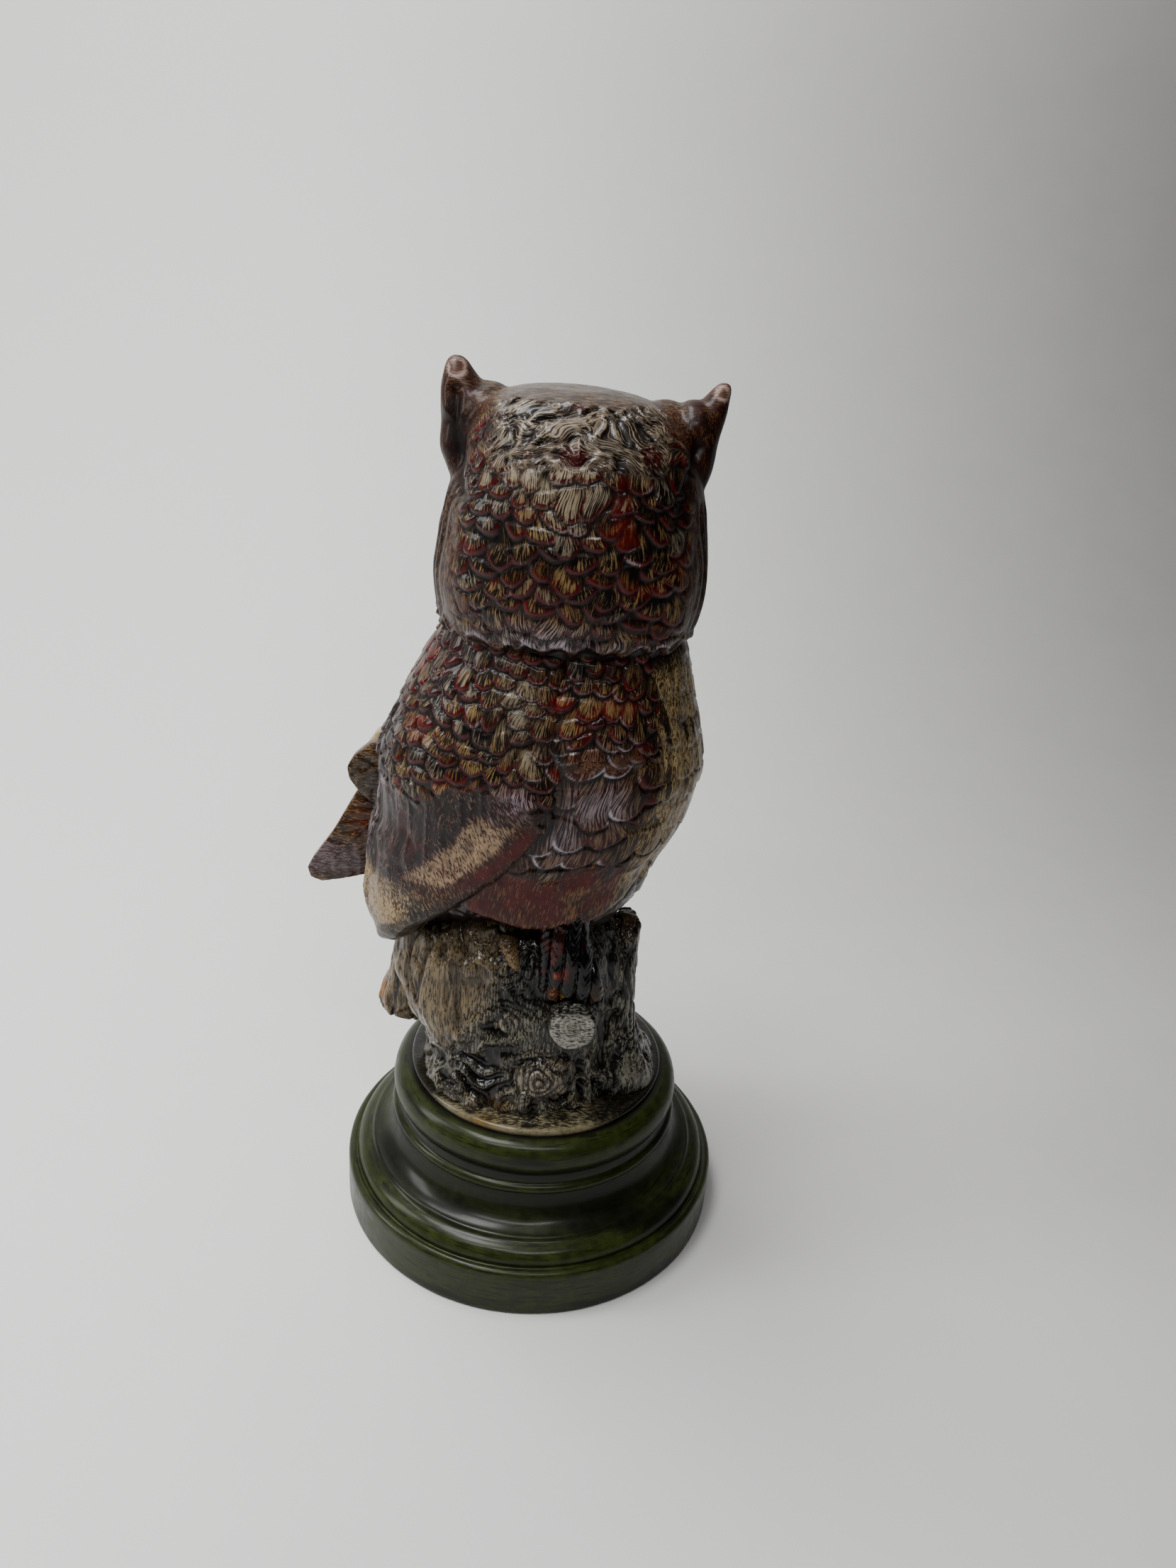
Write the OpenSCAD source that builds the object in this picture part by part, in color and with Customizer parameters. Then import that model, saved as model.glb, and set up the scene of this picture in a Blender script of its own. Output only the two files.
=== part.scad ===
// Ceramic owl perched on a tree stump, standing on a round moulded plinth.
// Millimetres, +Z up. The origin is the centre of the plinth's foot ring, on the table.
// The owl faces -Y, so its back is towards +Y and its left wing is towards +X.

/* [Plinth] */
// Diameter of the plinth's foot
plinth_d = 140; // [120:1:160]
// Height from the table to the seat of the figure
plinth_h = 57; // [50:1:64]
// Diameter of the seat that carries the figure
seat_d = 93.6; // [93.6:0.2:98]
// Width of the foot ring that touches the table
foot_ring_w = 8; // [6:0.5:10]
// Diameter of the pouring hole in the plinth's top
pour_hole_d = 22; // [16:1:28]

/* [Casting] */
// Thickness of the cast walls
wall = 5; // [4:0.5:6]
// Diameter of the vent hole in each hollow casting
vent_d = 3; // [2:0.5:3.5]

/* [Figure] */
// Height of the figure above the plinth, to the ear tips
figure_h = 245; // [220:1:270]
// How far the wings stand proud of the body
wing_t = 4; // [3:0.5:5]
// Thickness of the oak leaves
leaf_t = 4.5; // [3.5:0.5:6]

/* [Hidden] */

// The figure's tables below are drawn for this height and scaled to figure_h
drawn_h = 245;
// Points round each main shell, and round the small shapes
shell_n = 48;
small_n = 20;
// Squareness of the shells' outlines: 2 is an ellipse
squareness = 2.3;
// How far an attached piece reaches into its neighbour before it is cut to fit
bite = 2;
// Angle over which the body's wall steps down beneath a wing's edge
step_angle = 8;
// Angle where the left wing's front edge lies, and the width of the crease between the wings
wing_front = -32;
crease = 1.2;
// How far a wing's face stands outside the breast's
wing_proud = 1.3;
// Keeps the wings' rims from thinning to nothing
rim_keep = 0.04;
disc_h = 4;

// Places on the face: across for each eye, then depth and height for both
eye_across = [-15, 14];
eye_depth = -35;
eye_height = 195;
eye_r = 8.5;
// Rounded discs round the eyes: depth, height and half sizes
face_depth = -27;
face_height = 192;
face_size = [18, 14, 23];
// Where the front feet stand
foot_across = [25, 1];
// Sawn branch: place, tilt, length and the radii of its root and face
stub_place = [-11.4, 24, 35.4];
stub_tilt = -72;
stub_len = 15;
stub_r = [9, 7.3];

// Stations from bottom to top: [height, centre x, centre y, half width, half depth]
stump_rows = [
    [4, 5, 1, 36, 36], [13, 6, 2, 34, 35], [23, 8, 2, 36, 34], [35, 11, 2, 39, 34],
    [45, 12.5, 1, 40.5, 33], [55, 12.5, 0, 39, 32], [65, 13, 0, 36, 30]];
spur_rows = [
    [4, -30, 6, 14, 18], [12, -28, 8, 11.5, 17], [26, -26, 6, 8.5, 13],
    [45, -26, 4, 8, 10], [57, -26.5, 3, 7.5, 8], [62, -28, 1, 5, 5.5], [64, -29, 0, 1, 1]];
branch_rows = [
    [16, 45, 0, 5, 6], [19, 48, 0, 10, 9], [23, 48.5, 0, 10, 10], [29, 48, 0, 9, 11],
    [38, 46, 0, 8, 11], [46, 44, 0, 8, 10]];

// The body has three more columns: the angle of the crease where the wings meet down the back,
// the angle of the right wing's front edge, and how full the wings are at this height
body_rows = [
    [65, 14, 0, 34, 28, 30, 125, 0.1], [67, 15.5, 0, 39.5, 32, 34, 130, 0.4],
    [71, 16, 0, 43.5, 35, 44, 140, 0.8], [79, 14, 0, 47, 37, 60, 150, 1],
    [93, 11.3, 0, 48.7, 38.5, 80, 158, 1], [106, 6.8, 0, 50.3, 40, 92, 150, 1],
    [116, 5.2, 0, 51.6, 41, 98, 145, 1], [126, 4.1, 0, 52.4, 41.5, 100, 143, 1],
    [138, 2.8, 0, 48.8, 41, 97, 140, 1], [148, 2.1, 0, 45.5, 39.5, 92, 139, 0.9],
    [157, 1, 0, 42, 37, 92, 138, 0.5], [165, 0, 0, 38.5, 34, 92, 137, 0]];
head_rows = [
    [165, 0.2, 0, 37.8, 34], [169, 0, 0, 39.4, 36.6], [176, -0.5, 0, 41.2, 38.4],
    [184, -0.5, 0, 42, 39], [194, -0.8, 0, 41.3, 38.5], [204, -1, 0, 39.6, 37.5],
    [214, -1.1, 0, 37.6, 36], [223, -0.6, 0, 35, 33.5], [229.5, 0.4, -1, 31.4, 30],
    [235.5, 1.5, -2.5, 25.5, 24], [238.6, 2, -3, 15, 14], [239.4, 2, -3, 2, 2]];
ear_left_rows = [
    [208, 31, -3, 4, 9], [218, 32, -3, 9, 13], [228, 31.8, -3.5, 9.8, 12],
    [236, 34, -4, 7.4, 8], [241, 36, -4.6, 4.4, 5], [243.6, 36.6, -5, 2.4, 2.8],
    [244.8, 36.6, -5, 0.6, 0.6]];
ear_right_rows = [
    [206, -32, -3, 4, 8], [216, -33.5, -3, 7, 12], [226, -34.5, -3.5, 7.6, 10.5],
    [233, -37.6, -4, 6, 7], [238, -40.6, -4.6, 3.6, 4.4], [241.3, -42.4, -5, 2, 2.4],
    [242.6, -42.8, -5, 0.5, 0.5]];
wing_tip_rows = [
    [50, 53, 2, 1, 1], [52, 53, 2, 5, 8], [58, 53.5, 3, 8.6, 13], [65, 52, 4, 10, 16],
    [73, 50, 4, 10, 17], [83, 46, 4, 6, 12]];
tail_rows = [
    [45, -9.5, 29, 6, 1.5], [47, -9.5, 29.5, 8.5, 4], [57, -9, 29, 9.5, 6],
    [69, -8.5, 27, 9.6, 7], [80, -8.5, 24, 9, 7]];
beak_rows = [
    [176, 0, -41.6, 0.6, 0.6], [181, 0, -41.8, 3, 3.4], [189, 0, -40, 4.6, 4.6], [196, 0, -37, 3, 3]];

// Outlines seen from behind: [x, height]
upper_leaf = [[47, 126.5], [54.7, 124.2], [63, 120], [67.4, 115.6], [69.4, 111], [68.8, 107.4], [65.6, 102.6],
    [60, 97], [47, 91]];
lower_leaf = [[47, 108], [58, 108], [64.6, 104], [68.2, 98.4], [75.2, 87], [82, 76.4], [83.6, 72.2], [82.6, 69.4],
    [79.4, 68], [72, 69], [62.4, 70.6], [55, 70], [47, 77]];
back_leaf = [[46, 128], [55, 126], [61, 122], [65.5, 115.6], [60, 105], [46, 99]];

// --- smooth lofts through a table of stations ---
function spline(a, b, c, d, t) =
    0.5 * (2 * b + (c - a) * t + (2 * a - 5 * b + 4 * c - d) * t * t + (3 * b - a - 3 * c + d) * t * t * t);
function station(rows, u) =
    let (last = len(rows) - 1, i = min(floor(u), last - 1))
    spline(rows[max(i - 1, 0)], rows[i], rows[i + 1], rows[min(i + 2, last)], u - i);
function oval_radius(half_w, half_d, angle) =
    1 / pow(pow(abs(cos(angle)) / half_w, squareness) + pow(abs(sin(angle)) / half_d, squareness), 1 / squareness);
function oval_point(row, angle, grow = 0) =
    let (r = oval_radius(max(row[3], 0.4), max(row[4], 0.4), angle) + grow)
    [row[1] + r * cos(angle), row[2] + r * sin(angle), row[0]];
function oval(row, n) = [for (j = [0:n - 1]) oval_point(row, 360 * j / n)];
function middle(row) = [row[1], row[2], row[0]];
function loft_rings(rows, sub, n) =
    [for (k = [0:(len(rows) - 1) * sub]) oval(station(rows, k / sub), n)];
// The same stations, one wall thickness inside
function inner_rows(rows) =
    let (low = rows[0][0], high = rows[len(rows) - 1][0], mid = (low + high) / 2,
        squeeze = 1 - 2 * wall / (high - low))
    [for (row = rows) [mid + (row[0] - mid) * squeeze, row[1], row[2],
        max(row[3] - wall, 1), max(row[4] - wall, 1)]];
function reversed(list) = [for (i = [len(list) - 1:-1:0]) list[i]];

// Closed skin over a run of rings, with a point at each end
module skin(rings, first, last) {
    n = len(rings[0]);
    count = len(rings) * n;
    points = concat([for (ring = rings) each ring], [first, last]);
    faces = concat(
        [for (r = [0:len(rings) - 2], j = [0:n - 1])
            let (a = r * n + j, d = r * n + (j + 1) % n)
            each [[a, a + n, d + n], [a, d + n, d]]],
        [for (j = [0:n - 1]) [count, j, (j + 1) % n]],
        [for (j = [0:n - 1]) [count - n + j, count + 1, count - n + (j + 1) % n]]);
    polyhedron(points, faces);
}

module loft(rows, sub = 2, n = small_n)
    skin(loft_rings(rows, sub, n), middle(rows[0]), middle(rows[len(rows) - 1]));

// Cast shell: the outer rings, a cavity one wall inside, and a vent through the floor
module cast_shell(outer, rows) {
    n = len(outer[0]);
    cavity_rows = inner_rows(rows);
    cavity = loft_rings(cavity_rows, 1, n);
    floor_row = rows[0];
    vent = [for (z = [cavity_rows[0][0], floor_row[0]])
        oval([z, floor_row[1], floor_row[2], vent_d / 2, vent_d / 2], n)];
    skin(concat(reversed(cavity), vent, outer),
        middle(cavity_rows[len(rows) - 1]), middle(rows[len(rows) - 1]));
}

// Closed slab between two grids of points, outer first
module slab(outer, inner) {
    rows = len(outer);
    cols = len(outer[0]);
    skip = rows * cols;
    function at(r, j) = r * cols + j;
    points = concat([for (row = outer) each row], [for (row = inner) each row]);
    quads = concat(
        [for (r = [0:rows - 2], j = [0:cols - 2]) [at(r, j), at(r + 1, j), at(r + 1, j + 1), at(r, j + 1)]],
        [for (r = [0:rows - 2], j = [0:cols - 2])
            [skip + at(r, j), skip + at(r, j + 1), skip + at(r + 1, j + 1), skip + at(r + 1, j)]],
        [for (r = [0:rows - 2]) [at(r + 1, 0), at(r, 0), skip + at(r, 0), skip + at(r + 1, 0)]],
        [for (r = [0:rows - 2])
            [at(r, cols - 1), at(r + 1, cols - 1), skip + at(r + 1, cols - 1), skip + at(r, cols - 1)]],
        [for (j = [0:cols - 2]) [at(0, j), at(0, j + 1), skip + at(0, j + 1), skip + at(0, j)]],
        [for (j = [0:cols - 2])
            [at(rows - 1, j + 1), at(rows - 1, j), skip + at(rows - 1, j), skip + at(rows - 1, j + 1)]]);
    polyhedron(points, [for (q = quads) each [[q[0], q[1], q[2]], [q[0], q[2], q[3]]]]);
}

// Places a figure piece on the plinth, at the chosen height
module on_plinth() translate([0, 0, plinth_h]) scale(figure_h / drawn_h) children();

// The first child trimmed by the others, as one mesh, so that the two meet face to face
module fitted() on_plinth() resize([0, 0, 0]) difference() {
    children(0);
    if ($children > 1) children([1:$children - 1]);
}

// --- the body's outline and the wings on it ---
function ramp(x) = let (t = min(max(x, 0), 1)) t * t * (3 - 2 * t);
// 1 under a wing, 0 on the breast
function covered(angle, row) =
    let (a = angle > 180 ? angle - 360 : angle)
    ramp((a - wing_front) / step_angle) * ramp((row[6] - a) / step_angle);
function body_rings(sub) = [for (k = [0:(len(body_rows) - 1) * sub])
    let (row = station(body_rows, k / sub))
    [for (j = [0:shell_n - 1]) let (a = 360 * j / shell_n)
        oval_point(row, a, -wing_t * covered(a, row) * max(row[7], 0))]];
// Rounded thickness across a wing: zero at both edges
function plump(s) = pow(max(1 - pow(abs(2 * s - 1), 4), 0), 0.5);

// A wing from angle to angle round the body, over the stations first to last
module wing_slab(first, last, from_angle, to_angle, cols) {
    steps = 2 * (last - first);
    function angle_at(row, s) =
        let (a = from_angle == undef ? row[5] + crease : from_angle, b = to_angle == undef ? row[5] : to_angle,
            right = to_angle == undef ? b : min(to_angle, row[6]))
        a + (right - a) * s;
    function grid(lift, sink) = [for (k = [0:steps])
        let (row = station(body_rows, first + k / 2), end = plump(rim_keep + (1 - 2 * rim_keep) * k / steps))
        [for (j = [0:cols]) let (s = j / cols)
            oval_point(row, angle_at(row, s), lift * (0.5 + 0.5 * plump(rim_keep + (1 - 2 * rim_keep) * s)) * end - sink)]];
    slab(grid(wing_proud, 0), grid(0, wing_t + bite));
}

module body_mass() skin(body_rings(2), middle(body_rows[0]), middle(body_rows[len(body_rows) - 1]));
module head_mass() loft(head_rows, 2, shell_n);
module stump_mass() loft(stump_rows, 2, shell_n);
module ground_mass() translate([0, 0, -1]) cylinder(h = disc_h + 1, d = seat_d + 2 * bite, $fn = 96);
module ball(place, size, n = 28) translate(place) scale(size) sphere(r = 1, $fn = n);
module toe_ball(place, r) ball(place, [r, r, r], 16);
module plate(outline, y, thick) translate([0, y, 0]) rotate([90, 0, 0])
    linear_extrude(thick, center = true) offset(r = 1.6, $fn = 16) offset(delta = -1.6) polygon(outline);
module left_wing_mass() union() {
    wing_slab(1, 10, wing_front, undef, 22);
    loft(wing_tip_rows);
}

// --- plinth and ground ---
module plinth() {
    foot_r = plinth_d / 2;
    seat_r = seat_d / 2;
    band_h = 0.29 * plinth_h;
    cove_r = foot_r - 18;
    bead_r = 2;
    bead_z = 0.685 * plinth_h;
    neck_r = seat_r + 4.7;
    roll_h = 7;
    function arc(cx, cz, rx, rz, from_a, to_a) =
        [for (i = [0:10]) let (a = from_a + (to_a - from_a) * i / 10) [cx + rx * cos(a), cz + rz * sin(a)]];
    outer = concat(
        [[foot_r - 0.8, 0], [foot_r, 0.8]],
        arc(foot_r - 2, band_h, 2, 2, 0, 90),
        arc(foot_r - 9, band_h + 2, 5.5, 5.5, 0, 80),
        [[foot_r - 9, band_h + 8], [foot_r - 9, band_h + 9]],
        arc(foot_r - 9, bead_z - bead_r, 9, bead_z - bead_r - band_h - 9, 270, 180),
        arc(cove_r - 0.5, bead_z, bead_r, bead_r, -90, 80),
        [[neck_r, 0.79 * plinth_h]],
        arc(seat_r + 0.7, plinth_h - roll_h, 5.5, roll_h - 0.4, -35, 84),
        [[seat_r, plinth_h]]);
    inner = [[pour_hole_d / 2, plinth_h], [pour_hole_d / 2, plinth_h - wall],
        [neck_r - wall - 2, plinth_h - wall], [neck_r - wall, plinth_h - wall - 2],
        [neck_r - wall, bead_z - 3], [foot_r - 9 - wall, band_h + 6],
        [foot_r - foot_ring_w, band_h + 1], [foot_r - foot_ring_w, 0]];
    color("darkolivegreen") rotate_extrude($fn = 128) polygon(concat(outer, inner));
}

module ground_disc() color("tan") on_plinth() {
    r = seat_d / 2;
    rotate_extrude($fn = 96) polygon([[vent_d / 2, 0], [r, 0], [r - 0.2, 1.2], [r - 1.2, 2.6],
        [r - 3.5, disc_h - 0.4], [r - 7, disc_h], [vent_d / 2, disc_h]]);
}

// --- tree stump ---
module stump() color("dimgray") on_plinth() cast_shell(loft_rings(stump_rows, 2, shell_n), stump_rows);
module trunk_spur() color("gray") fitted() { loft(spur_rows); stump_mass(); body_mass(); }
module broken_branch() color("rosybrown") fitted() { loft(branch_rows); stump_mass(); }
module branch_stub() color("lightgray") fitted() {
    translate(stub_place) rotate([stub_tilt, 0, 0]) cylinder(h = stub_len, r1 = stub_r[0], r2 = stub_r[1], $fn = 32);
    stump_mass();
}
module root_knot() color("gray") fitted() { ball([-2.3, 30, 17], [10, 9, 9.5]); stump_mass(); }
module side_knot() color("gray") fitted() { ball([9.4, 29, 38], [7.5, 8.5, 8.5]); stump_mass(); }

// --- owl ---
module body() color("wheat") on_plinth() cast_shell(body_rings(2), body_rows);
module wing_left() color("sienna") fitted() { left_wing_mass(); body_mass(); stump_mass(); head_mass(); }
module wing_right() color("maroon") fitted() {
    wing_slab(3, 10, undef, 180, 12);
    body_mass();
    head_mass();
}
module tail() color("saddlebrown") fitted() { loft(tail_rows); body_mass(); stump_mass(); }
module hind_claw() color("burlywood") fitted() {
    hull() { toe_ball([12, 29, 67], 3); toe_ball([9, 34, 60.5], 2); }
    stump_mass();
    body_mass();
    left_wing_mass();
}
// Three toes: each runs forward from its root to the stump's edge and bends down to its claw
module foot(x) {
    function root(side) = [x + side * 4, -29, 68];
    function bend(side) = [x + side * 6.5, -35, 65];
    function tip(side) = [x + side * 7, -34.5, 53];
    color("goldenrod") fitted() {
        union() for (side = [-1, 0, 1]) {
            hull() { toe_ball(root(side), 3.6); toe_ball(bend(side), 3.4); }
            hull() { toe_ball(bend(side), 3.4); toe_ball(tip(side), 1.7); }
        }
        stump_mass();
        body_mass();
    }
}
module foot_left() foot(foot_across[0]);
module foot_right() foot(foot_across[1]);

// --- head ---
module head() color("peru") on_plinth() cast_shell(loft_rings(head_rows, 2, shell_n), head_rows);
module ear_left() color("chocolate") fitted() { loft(ear_left_rows); head_mass(); }
module ear_right() color("chocolate") fitted() { loft(ear_right_rows); head_mass(); }
module face_mass() for (x = eye_across) ball([x, face_depth, face_height], face_size);
module eye_mass(x) ball([x, eye_depth, eye_height], [eye_r, eye_r, eye_r]);
module facial_disc() color("antiquewhite") fitted() {
    face_mass();
    head_mass();
    for (x = eye_across) eye_mass(x);
    loft(beak_rows);
}
module eye_left() color("gold") fitted() { eye_mass(eye_across[1]); head_mass(); }
module eye_right() color("gold") fitted() { eye_mass(eye_across[0]); head_mass(); }
module beak() color("darkkhaki") fitted() { loft(beak_rows); head_mass(); }

// --- oak leaves against the left wing ---
module leaf_upper() color("saddlebrown") fitted() {
    plate(upper_leaf, -1, leaf_t); left_wing_mass(); body_mass(); }
module leaf_lower() color("sienna") fitted() {
    plate(lower_leaf, -1 - leaf_t, leaf_t); left_wing_mass(); body_mass(); }
module leaf_back() color("wheat") fitted() {
    plate(back_leaf, -1 - 2 * leaf_t, leaf_t); left_wing_mass(); body_mass(); }

plinth();
ground_disc();
stump();
trunk_spur();
broken_branch();
branch_stub();
root_knot();
side_knot();
body();
wing_left();
wing_right();
tail();
hind_claw();
foot_left();
foot_right();
head();
ear_left();
ear_right();
facial_disc();
eye_left();
eye_right();
beak();
leaf_upper();
leaf_lower();
leaf_back();
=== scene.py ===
# %% [markdown]
# A ceramic owl on a tree stump, standing on a moulded plinth.
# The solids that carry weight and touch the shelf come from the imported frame. This lesson makes the
# surfaces that the eye sees: modelled feathers, bark and leaves, and the antiqued paint under a clear coat.
# Lengths in the tables are millimetres above the seat, the plane where the stump meets the plinth.

# %% Load the frame
import math

import bmesh
import bpy
import numpy as np
from mathutils import Matrix, Vector


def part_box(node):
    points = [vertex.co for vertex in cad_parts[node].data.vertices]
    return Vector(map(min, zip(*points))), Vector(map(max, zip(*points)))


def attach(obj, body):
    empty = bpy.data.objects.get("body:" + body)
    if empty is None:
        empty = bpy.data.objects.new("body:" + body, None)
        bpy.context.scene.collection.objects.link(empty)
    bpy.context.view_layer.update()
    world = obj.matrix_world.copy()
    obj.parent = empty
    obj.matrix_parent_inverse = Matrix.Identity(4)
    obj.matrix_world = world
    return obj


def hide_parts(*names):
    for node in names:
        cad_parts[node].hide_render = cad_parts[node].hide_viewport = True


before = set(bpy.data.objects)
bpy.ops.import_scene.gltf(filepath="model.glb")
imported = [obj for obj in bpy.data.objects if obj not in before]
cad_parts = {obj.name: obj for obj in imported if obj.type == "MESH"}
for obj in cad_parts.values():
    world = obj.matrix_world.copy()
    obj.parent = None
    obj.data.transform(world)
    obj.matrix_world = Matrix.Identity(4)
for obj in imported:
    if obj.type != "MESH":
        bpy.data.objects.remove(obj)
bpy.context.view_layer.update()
MM = 0.001
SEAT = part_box("ground_disc")[0][2]
DRAWN_EAR = 244.8
GROW = (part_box("ear_left")[1][2] - SEAT) / (DRAWN_EAR * MM)
print("seat at", round(SEAT, 4), "m, figure scale", round(GROW, 4))

# %% [markdown]
# The camera stands behind the owl and looks down at it, as somebody holding a phone would.
# It is made first, so that every later piece can be looked at from it.

# %% Camera
CAMERA_PLACE = (0.0, 0.3512, 0.3257)
CAMERA_RIGHT = (-0.99737, 0.00007, 0.07241)
CAMERA_UP = (0.06610, -0.40743, 0.91084)
CAMERA_BACK = (0.02957, 0.91324, 0.40636)
camera_data = bpy.data.cameras.new("camera")
camera_data.sensor_width = 36
camera_data.lens = 26.04
camera = bpy.data.objects.new("camera", camera_data)
axes = Matrix((CAMERA_RIGHT, CAMERA_UP, CAMERA_BACK)).transposed()
camera.matrix_world = Matrix.Translation(CAMERA_PLACE) @ axes.to_4x4()
bpy.context.scene.collection.objects.link(camera)
bpy.context.scene.camera = camera
print("camera looks down", round(math.degrees(math.asin(CAMERA_BACK[2])), 1), "degrees")

# %% [markdown]
# Relief and paint both need irregularity that is the same on every run. A lattice of hashed numbers,
# blended smoothly between its corners, gives that. It works on whole arrays of points at once.

# %% Smooth noise on arrays of points
def ease(x):
    """0 to 1 with a soft start and end."""
    x = np.clip(x, 0, 1)
    return x * x * (3 - 2 * x)


def hashed(i, j, k, seed):
    """A number from 0 to 1 for each cell."""
    h = (i * 73856093) ^ (j * 19349663) ^ (k * 83492791) ^ (seed * 49979687 + 1013)
    h = ((h ^ (h >> 13)) * 1274126177) & 0x7FFFFFFF
    return ((h ^ (h >> 15)) & 0xFFFF) / 65535.0


def noise(points, size, seed=0):
    """Smooth noise from -1 to 1; size is the lump size in mm, one number or one for each axis."""
    q = points / np.asarray(size, float)
    cell = np.floor(q).astype(np.int64)
    f = q - cell
    f = f * f * (3 - 2 * f)
    total = 0
    for corner in range(8):
        step = [(corner >> axis) & 1 for axis in range(3)]
        weight = 1
        for axis in range(3):
            weight = weight * (f[:, axis] if step[axis] else 1 - f[:, axis])
        total = total + weight * hashed(*(cell + step).T, seed)
    return 2 * total - 1


def lumpy(points, size, seed=0, octaves=3):
    """Several sizes of noise added up."""
    total, part = 0, 1.0
    for n in range(octaves):
        total = total + part * noise(points, np.asarray(size, float) / 2**n, seed + 17 * n)
        part *= 0.5
    return total


def wobble(points, size, seed):
    """Three noises side by side, to push points about."""
    return np.column_stack([noise(points, size, seed + k) for k in range(3)])


def line_at(value, centre, width):
    """1 where the value is the centre, fading out over the width to both sides."""
    return np.exp(-(((value - centre) / width) ** 2))


def bell(points, centre, radius):
    """1 at the centre, fading out by the radius; radius may differ on each axis."""
    away = (points - np.asarray(centre, float)) / np.asarray(radius, float)
    return np.exp(-2.2 * (away**2).sum(axis=1))


print("noise ready, sample", noise(np.array([[1.2, 3.4, 5.6]]), 2.0).round(3))

# %% [markdown]
# A modeller builds such a figure from rolled lumps of clay. Here a lump is a loft: an oval ring is
# extruded again and again, and each new ring is set to the next station of a table. A voxel remesh then
# fuses the lumps and gives an even skin that is fine enough to carry modelled feathers.

# %% Lofted lumps and the fused skin
SQUARENESS = 2.3


def station(rows, u):
    """A row of the table at position u, on a smooth curve through the rows."""
    last = len(rows) - 1
    i = min(int(u), last - 1)
    t = u - i
    a, b, c, d = (np.array(rows[k], float) for k in (max(i - 1, 0), i, i + 1, min(i + 2, last)))
    return 0.5 * (2 * b + (c - a) * t + (2 * a - 5 * b + 4 * c - d) * t * t + (3 * b - a - 3 * c + d) * t**3)


def oval_radius(half_w, half_d, angle):
    """Distance from the middle of a squarish oval to its edge; angle in radians."""
    across = np.abs(np.cos(angle)) / np.maximum(half_w, 0.3)
    deep = np.abs(np.sin(angle)) / np.maximum(half_d, 0.3)
    return (across**SQUARENESS + deep**SQUARENESS) ** (-1 / SQUARENESS)


def loft(rows, around=72, sub=5, swell=None):
    """Closed lump through stations [height, x, y, half width, half depth, ...]."""
    bm = bmesh.new()
    bmesh.ops.create_circle(bm, cap_ends=True, segments=around, radius=1)
    edges = bm.edges[:]
    verts = bm.verts[:]
    centre = (0.0, 0.0)
    count = (len(rows) - 1) * sub
    for k in range(count + 1):
        row = station(rows, k / sub)
        for v in verts:
            angle = math.atan2(v.co.y - centre[1], v.co.x - centre[0])
            r = oval_radius(row[3], row[4], angle) + (swell(angle, row) if swell else 0)
            v.co = (row[1] + r * math.cos(angle), row[2] + r * math.sin(angle), row[0])
        centre = (row[1], row[2])
        if k < count:
            grown = bmesh.ops.extrude_edge_only(bm, edges=edges)["geom"]
            verts = [g for g in grown if isinstance(g, bmesh.types.BMVert)]
            edges = [g for g in grown if isinstance(g, bmesh.types.BMEdge)]
    bmesh.ops.contextual_create(bm, geom=edges)
    bmesh.ops.recalc_face_normals(bm, faces=bm.faces[:])
    return bm


def ball(place, size):
    """Lump of clay rolled to an egg."""
    bm = bmesh.new()
    bmesh.ops.create_uvsphere(bm, u_segments=40, v_segments=24, radius=1)
    bmesh.ops.scale(bm, vec=size, verts=bm.verts)
    bmesh.ops.translate(bm, vec=place, verts=bm.verts)
    return bm


def new_object(name, bm):
    """A mesh object from a bmesh drawn in mm above the seat; its place is in its mesh."""
    stand = Matrix.Translation((0, 0, SEAT)) @ Matrix.Scale(MM * GROW, 4)
    bmesh.ops.transform(bm, matrix=stand, verts=bm.verts)
    mesh = bpy.data.meshes.new(name)
    bm.to_mesh(mesh)
    bm.free()
    obj = bpy.data.objects.new(name, mesh)
    bpy.context.scene.collection.objects.link(obj)
    return obj


def applied(obj):
    """Replaces the object's mesh by what its modifiers make of it."""
    graph = bpy.context.evaluated_depsgraph_get()
    mesh = bpy.data.meshes.new_from_object(obj.evaluated_get(graph))
    old = obj.data
    obj.modifiers.clear()
    obj.data = mesh
    bpy.data.meshes.remove(old)
    mesh.name = obj.name


def fused(name, lumps, voxel, rounds):
    """One even skin round all the lumps; voxel in mm, rounds of smoothing."""
    whole = bmesh.new()
    for lump in lumps:
        part = bpy.data.meshes.new("part")
        lump.to_mesh(part)
        lump.free()
        whole.from_mesh(part)
        bpy.data.meshes.remove(part)
    obj = new_object(name, whole)
    remesh = obj.modifiers.new("skin", "REMESH")
    remesh.mode = "VOXEL"
    remesh.voxel_size = voxel * MM * 1.0
    remesh.use_smooth_shade = True
    soften = obj.modifiers.new("soften", "SMOOTH")
    soften.factor = 0.5
    soften.iterations = rounds
    applied(obj)
    print(name, len(obj.data.polygons), "faces")
    return obj


print("a 40 by 30 mm oval reaches", round(float(oval_radius(40, 30, math.pi / 4)), 1), "mm on its diagonal")

# %% [markdown]
# Relief is pressed into the skin the way a modelling tool would do it: every point moves along its own
# normal. The same step writes the paint onto the points: a flat tint, the colour and amount of
# dry-brushing over it, and how dark the point is made, both by dark wash left in the hollows and by
# painted shade in creases and under overhangs.

# %% Carving and painting on points
def figure_points(obj):
    """The object's points in mm above the seat, and their normals."""
    mesh = obj.data
    co = np.empty(len(mesh.vertices) * 3)
    mesh.vertices.foreach_get("co", co)
    co = (co.reshape(-1, 3) - (0, 0, SEAT)) / (MM * GROW)
    no = np.empty(len(mesh.vertices) * 3)
    mesh.vertices.foreach_get("normal", no)
    return co, no.reshape(-1, 3)


def places(obj):
    """The object's points, and their x, y and z on their own."""
    points, _ = figure_points(obj)
    return points, *points.T


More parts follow.
